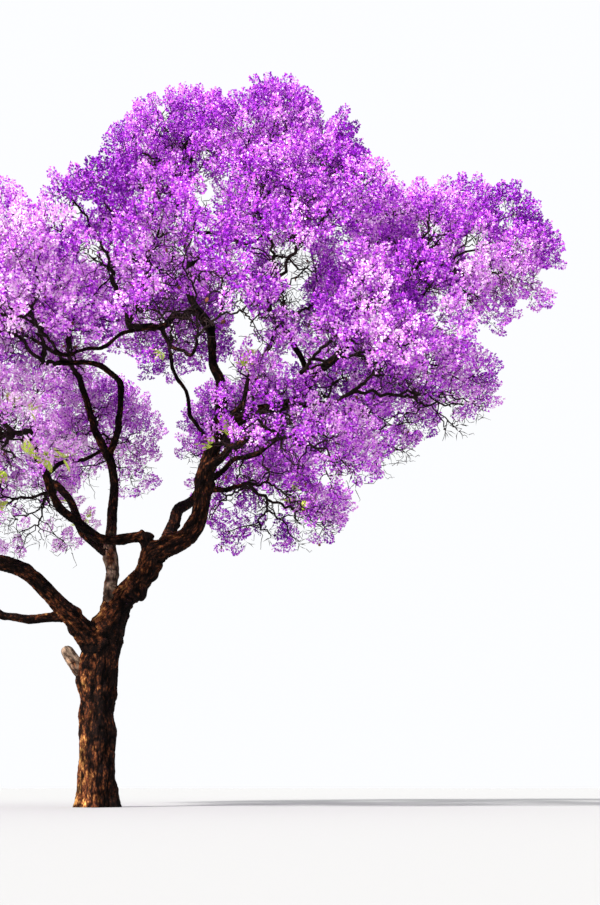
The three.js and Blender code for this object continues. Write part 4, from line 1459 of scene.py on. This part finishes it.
class JACARANDA_PG_stage(PropertyGroup):
    """The floor, the light and the camera."""
    floor: FloatVectorProperty(name="Floor", description="Colour of the floor", size=3,
                               default=(0.42, 0.42, 0.42), min=0, max=1, subtype="COLOR")
    sky: FloatVectorProperty(name="Sky", description="Colour of the light all round", size=3,
                             default=(0.93, 0.94, 0.96), min=0, max=1, subtype="COLOR")
    sky_strength: FloatProperty(name="Sky strength", description="Strength of the light all round",
                                default=1.05, min=0)
    sun_strength: FloatProperty(name="Sun strength", description="Strength of the soft sun",
                                default=6.6, min=0)
    fill_strength: FloatProperty(name="Fill strength", description="Strength of the wide fill light",
                                 default=1.7, min=0)
    lens: FloatProperty(name="Lens", description="Focal length of the camera in millimetres",
                        default=50, min=10)


GROUPS = (JACARANDA_PG_wood, JACARANDA_PG_twigs, JACARANDA_PG_blossom, JACARANDA_PG_leaves,
          JACARANDA_PG_stage)


def scene_name(group):
    """The name under which the scene holds a group of sizes and colours."""
    return group.__name__.replace("_PG", "").lower()


class JACARANDA_OT_trunk(Operator):
    """Clothe the trunk and its broken stub in bark"""
    bl_idname = "jacaranda.trunk"
    bl_label = "Trunk"

    def execute(self, context):
        trunk = grown_tree()[1]["trunk"]
        stub = Limb("stub", LimbCurve(*STUB_CURVE, 0, 9), limb_radius(*STUB_RADII), trunk)
        limbs = [(trunk, TRUNK_MESH), (stub, STUB_MESH)]
        wood_piece("trunk_bark", limbs, context.scene.jacaranda_wood, TRUNK_BARK)
        return {"FINISHED"}


class JACARANDA_OT_main_boughs(Operator):
    """Clothe the two great boughs in bark"""
    bl_idname = "jacaranda.main_boughs"
    bl_label = "Main boughs"

    def execute(self, context):
        limbs = grown_tree()[1]
        pair = [(limbs["main_bough"], MAIN_BOUGH_MESH), (limbs["left_bough"], LEFT_BOUGH_MESH)]
        wood_piece("main_boughs_bark", pair, context.scene.jacaranda_wood, MAIN_BOUGHS_BARK)
        return {"FINISHED"}


class JACARANDA_OT_limbs(Operator):
    """Clothe the other main limbs in bark"""
    bl_idname = "jacaranda.limbs"
    bl_label = "Limbs"

    def execute(self, context):
        limbs = grown_tree()[1]
        rows = [(limbs[name], SHORT_LIMB_MESH if name == "elbow_riser" else LIMB_MESH)
                for name, *_ in MAIN_LIMBS[2:]]
        wood_piece("limbs_bark", rows, context.scene.jacaranda_wood, LIMBS_BARK)
        return {"FINISHED"}


class JACARANDA_OT_boughs(Operator):
    """Clothe the boughs that carry the other masses in bark"""
    bl_idname = "jacaranda.boughs"
    bl_label = "Boughs"

    def execute(self, context):
        rows = [(limb, BOUGH_MESH) for limb in grown_tree()[1].values() if limb.name.startswith("bough_to_")]
        wood_piece("boughs_bark", rows, context.scene.jacaranda_wood, BOUGHS_BARK)
        return {"FINISHED"}


class JACARANDA_OT_twigs(Operator):
    """Grow the twigs of every mass and puff, the panicles' stalks and the bare twiglets"""
    bl_idname = "jacaranda.twigs"
    bl_label = "Twigs"

    def execute(self, context):
        look = context.scene.jacaranda_twigs
        length = context.scene.jacaranda_blossom.panicle_length / MM
        stalk = look.stalk_radius / MM
        thick, thin, bare, (starts, ways, *_), (bases, reach) = grown_twigs()
        points, faces = join_tubes((thick.lines, thick.radii), TWIG_SIDES)
        crown_piece("twigs", points * MM, faces, plain_material("twig_wood", look.dark, WOOD_ROUGHNESS))

        lines, radii = np.array(thin.lines), np.array(thin.radii)
        slivers = join_slivers(lines[:, 0], lines[:, 3], lines[:, -1], radii[:, 3] * BEND_THICKER)
        random = np.random.default_rng(STALKS_SEED)
        ends = starts + ways * length * STALK_SHARE
        bends = starts + (ends - starts) * STALK_BEND_AT
        bends = bends + random.normal(0, STALK_BEND * length, starts.shape)
        stalks = join_slivers(starts, bends, ends, np.full(len(starts), stalk))
        points, faces = joined(slivers, stalks)
        thin_wood = plain_material("fine_twig_wood", look.light, WOOD_ROUGHNESS)
        crown_piece("fine_twigs", points * MM, faces, thin_wood)

        kept = random.random(len(bases)) < look.bare_share * (1.15 - inside_rows(bases, OPENINGS))
        kept &= bases[:, 2] < BARE_TO
        bases, reach = bases[kept], reach[kept]
        reach = unit(reach + random.normal(0, TWIGLET_SPREAD, bases.shape) + UP * TWIGLET_UP)
        reach = reach * length * random.uniform(*TWIGLET_LENGTHS, (len(bases), 1))
        lines = bases[:, None] + reach[:, None] * np.array(TWIGLET_PLACES)[None, :, None]
        lines[:, 1:] += np.cumsum(random.normal(0, TWIGLET_CROOK * length, lines[:, 1:].shape), axis=1)
        radii = stalk * np.tile(TWIGLET_RADII, (len(bases), 1))
        twiglets = join_tubes((lines, radii), BARE_SIDES)
        points, faces = joined(twiglets, join_tubes((bare.lines, bare.radii), BARE_SIDES))
        crown_piece("bare_twigs", points * MM, faces, thin_wood)
        return {"FINISHED"}


class JACARANDA_OT_pods(Operator):
    """Hang flat brown seed pods from bare twigs"""
    bl_idname = "jacaranda.pods"
    bl_label = "Seed pods"

    def execute(self, context):
        look = context.scene.jacaranda_twigs
        bm = bmesh.new()
        bmesh.ops.create_uvsphere(bm, u_segments=POD_SIDES, v_segments=POD_RINGS, radius=0.5)
        bmesh.ops.scale(bm, verts=bm.verts, vec=POD_FORM)
        bmesh.ops.triangulate(bm, faces=bm.faces)
        bm.verts.index_update()
        pattern = np.array([vert.co for vert in bm.verts]) - (0, 0, POD_HANG)
        # The faces come in another order in every run, so they are sorted.
        corners = ([vert.index for vert in face.verts] for face in bm.faces)
        pattern_faces = np.array(sorted(np.roll(three, -np.argmin(three)).tolist() for three in corners))
        bm.free()
        random = np.random.default_rng(PODS_SEED)
        ends = np.array([line[-1] for line in grown_twigs()[2].lines]) * MM
        chosen = ends[random.choice(len(ends), look.pods)]
        turn = random.uniform(0, 2 * np.pi, look.pods)
        size = look.pod * random.uniform(*POD_SIZES, look.pods)
        c, s = np.cos(turn)[:, None], np.sin(turn)[:, None]
        x, y, z = pattern.T
        points = np.stack([x * c - y * s, x * s + y * c, z + 0 * c], axis=2) * size[:, None, None]
        points = points + chosen[:, None]
        faces = pattern_faces[None] + (np.arange(look.pods) * len(pattern))[:, None, None]
        pod_brown = plain_material("pod_brown", look.pod_brown, 0.7)
        crown_piece("seed_pods", points.reshape(-1, 3), faces.reshape(-1, 3), pod_brown)
        return {"FINISHED"}


class JACARANDA_OT_blossom(Operator):
    """Set a panicle of flowers on every spray, in a piece for each shade"""
    bl_idname = "jacaranda.blossom"
    bl_label = "Blossom"

    def execute(self, context):
        look = context.scene.jacaranda_blossom
        feet, ways, sizes, tones = flower_arrays(grown_twigs()[3], look)
        low, high = np.array(CAD_BOX[0]) - BLOSSOM_PAST_BOX, np.array(CAD_BOX[1]) + BLOSSOM_PAST_BOX
        mouths = feet + ways * sizes[:, None]
        inside = ((mouths > low) & (mouths < high)).all(axis=1)
        # Shades are dealt out by tone, which is partly painted light and shade.
        edges = np.quantile(tones, np.cumsum([0] + [share for _, share in SHADES]).clip(0, 1))
        steps = np.searchsorted(edges[1:-1], tones)
        for i, (shade, _) in enumerate(SHADES):
            chosen = inside & (steps == i)
            points, faces = join_flowers(feet[chosen], ways[chosen], sizes[chosen], look, PETALS_SEED + i)
            petal = plain_material(f"petal_{shade}", getattr(look, shade), 0.6)
            crown_piece(f"blossom_{shade}", points, faces, petal, "blossom")
        return {"FINISHED"}


class JACARANDA_OT_leaves(Operator):
    """Hang tufts of young leaves where they show among the blossom"""
    bl_idname = "jacaranda.leaves"
    bl_label = "Leaves"

    def execute(self, context):
        look = context.scene.jacaranda_leaves
        starts, ways, _, numbers, middles = grown_twigs()[3]
        random = np.random.default_rng(LEAVES_SEED)
        hubs, rows = np.unique(numbers, return_index=True)
        places = middles[rows] * MM
        pattern, pattern_faces = leaf_pattern(look.pairs)
        leaves = []
        for place, puffs, sprays in LEAFY_PLACES:
            for hub in np.argsort(np.linalg.norm(places - place, axis=1))[:puffs]:
                for row in random.choice(np.flatnonzero(numbers == hubs[hub]), sprays):
                    for _ in range(look.in_tuft):
                        way = unit(ways[row] + random.normal(0, LEAF_SPREAD, 3))
                        side = unit(np.cross(way, UP) + random.normal(0, 0.2, 3))
                        up = np.cross(side, way)
                        size = look.length * random.uniform(*LEAF_SIZES)
                        turned = pattern @ np.array([way, np.cross(up, way), up]) * size
                        leaves.append((turned + starts[row] * MM, pattern_faces))
        leaf_green = plain_material("leaf_green", look.green, 0.55)
        crown_piece("leaves", *joined(*leaves), leaf_green, "blossom")
        return {"FINISHED"}


class JACARANDA_OT_stage(Operator):
    """Lay the floor and set the light and the camera"""
    bl_idname = "jacaranda.stage"
    bl_label = "Stage"

    def execute(self, context):
        look, scene = context.scene.jacaranda_stage, context.scene
        bm = bmesh.new()
        bmesh.ops.create_grid(bm, x_segments=FLOOR_SQUARES, y_segments=FLOOR_SQUARES, size=FLOOR_HALF)
        mesh = bpy.data.meshes.new("floor")
        bm.to_mesh(mesh)
        bm.free()
        floor = bpy.data.objects.new("floor", mesh)
        scene.collection.objects.link(floor)
        mesh.materials.append(plain_material("floor", look.floor, 0.9))
        world = bpy.data.worlds.new("studio")
        world.use_nodes = True
        sky = world.node_tree.nodes["Background"]
        sky.inputs["Color"].default_value = (*look.sky, 1)
        sky.inputs["Strength"].default_value = look.sky_strength
        scene.world = world
        for name, strength, spread, way in (("soft_sun", look.sun_strength, *SUN),
                                            ("wide_fill", look.fill_strength, *FILL)):
            light = bpy.data.lights.new(name, "SUN")
            light.energy, light.angle, light.color = strength, math.radians(spread), LIGHT_COLOUR
            lamp = bpy.data.objects.new(name, light)
            lamp.rotation_euler = Vector(way).to_track_quat("-Z", "Y").to_euler()
            scene.collection.objects.link(lamp)
        data = bpy.data.cameras.new("camera")
        data.lens, data.sensor_width, data.clip_end = look.lens, SENSOR, SIGHT
        camera = bpy.data.objects.new("camera", data)
        camera.location = CAMERA_PLACE
        camera.rotation_euler = (math.radians(90 + CAMERA_PITCH), 0, 0)
        scene.collection.objects.link(camera)
        scene.camera = camera
        scene.view_settings.view_transform = "Standard"
        return {"FINISHED"}


class JACARANDA_PT_tree(Panel):
    """The tree's pieces and their sizes and colours"""
    bl_label = "Jacaranda"
    bl_idname = "JACARANDA_PT_tree"
    bl_space_type = "VIEW_3D"
    bl_region_type = "UI"
    bl_category = "Jacaranda"

    def draw(self, context):
        for operator in OPERATORS:
            self.layout.operator(operator.bl_idname)
        for group in GROUPS:
            box = self.layout.box()
            values = getattr(context.scene, scene_name(group))
            for name in group.__annotations__:
                box.prop(values, name)


OPERATORS = (JACARANDA_OT_trunk, JACARANDA_OT_main_boughs, JACARANDA_OT_limbs, JACARANDA_OT_boughs,
             JACARANDA_OT_twigs, JACARANDA_OT_pods, JACARANDA_OT_blossom, JACARANDA_OT_leaves,
             JACARANDA_OT_stage)
CLASSES = (*GROUPS, *OPERATORS, JACARANDA_PT_tree)


def register():
    """Make the classes known, and give the scene its sizes and colours."""
    for cls in CLASSES:
        bpy.utils.register_class(cls)
    for group in GROUPS:
        setattr(bpy.types.Scene, scene_name(group), PointerProperty(type=group))


def unregister():
    """Undo what register does."""
    for group in GROUPS:
        delattr(bpy.types.Scene, scene_name(group))
    for cls in reversed(CLASSES):
        bpy.utils.unregister_class(cls)


def main():
    """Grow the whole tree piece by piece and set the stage."""
    register()
    bpy.ops.jacaranda.trunk()
    bpy.ops.jacaranda.main_boughs()
    bpy.ops.jacaranda.limbs()
    bpy.ops.jacaranda.boughs()
    bpy.ops.jacaranda.twigs()
    bpy.ops.jacaranda.pods()
    bpy.ops.jacaranda.blossom()
    bpy.ops.jacaranda.leaves()
    bpy.ops.jacaranda.stage()


if __name__ == "__main__":
    main()
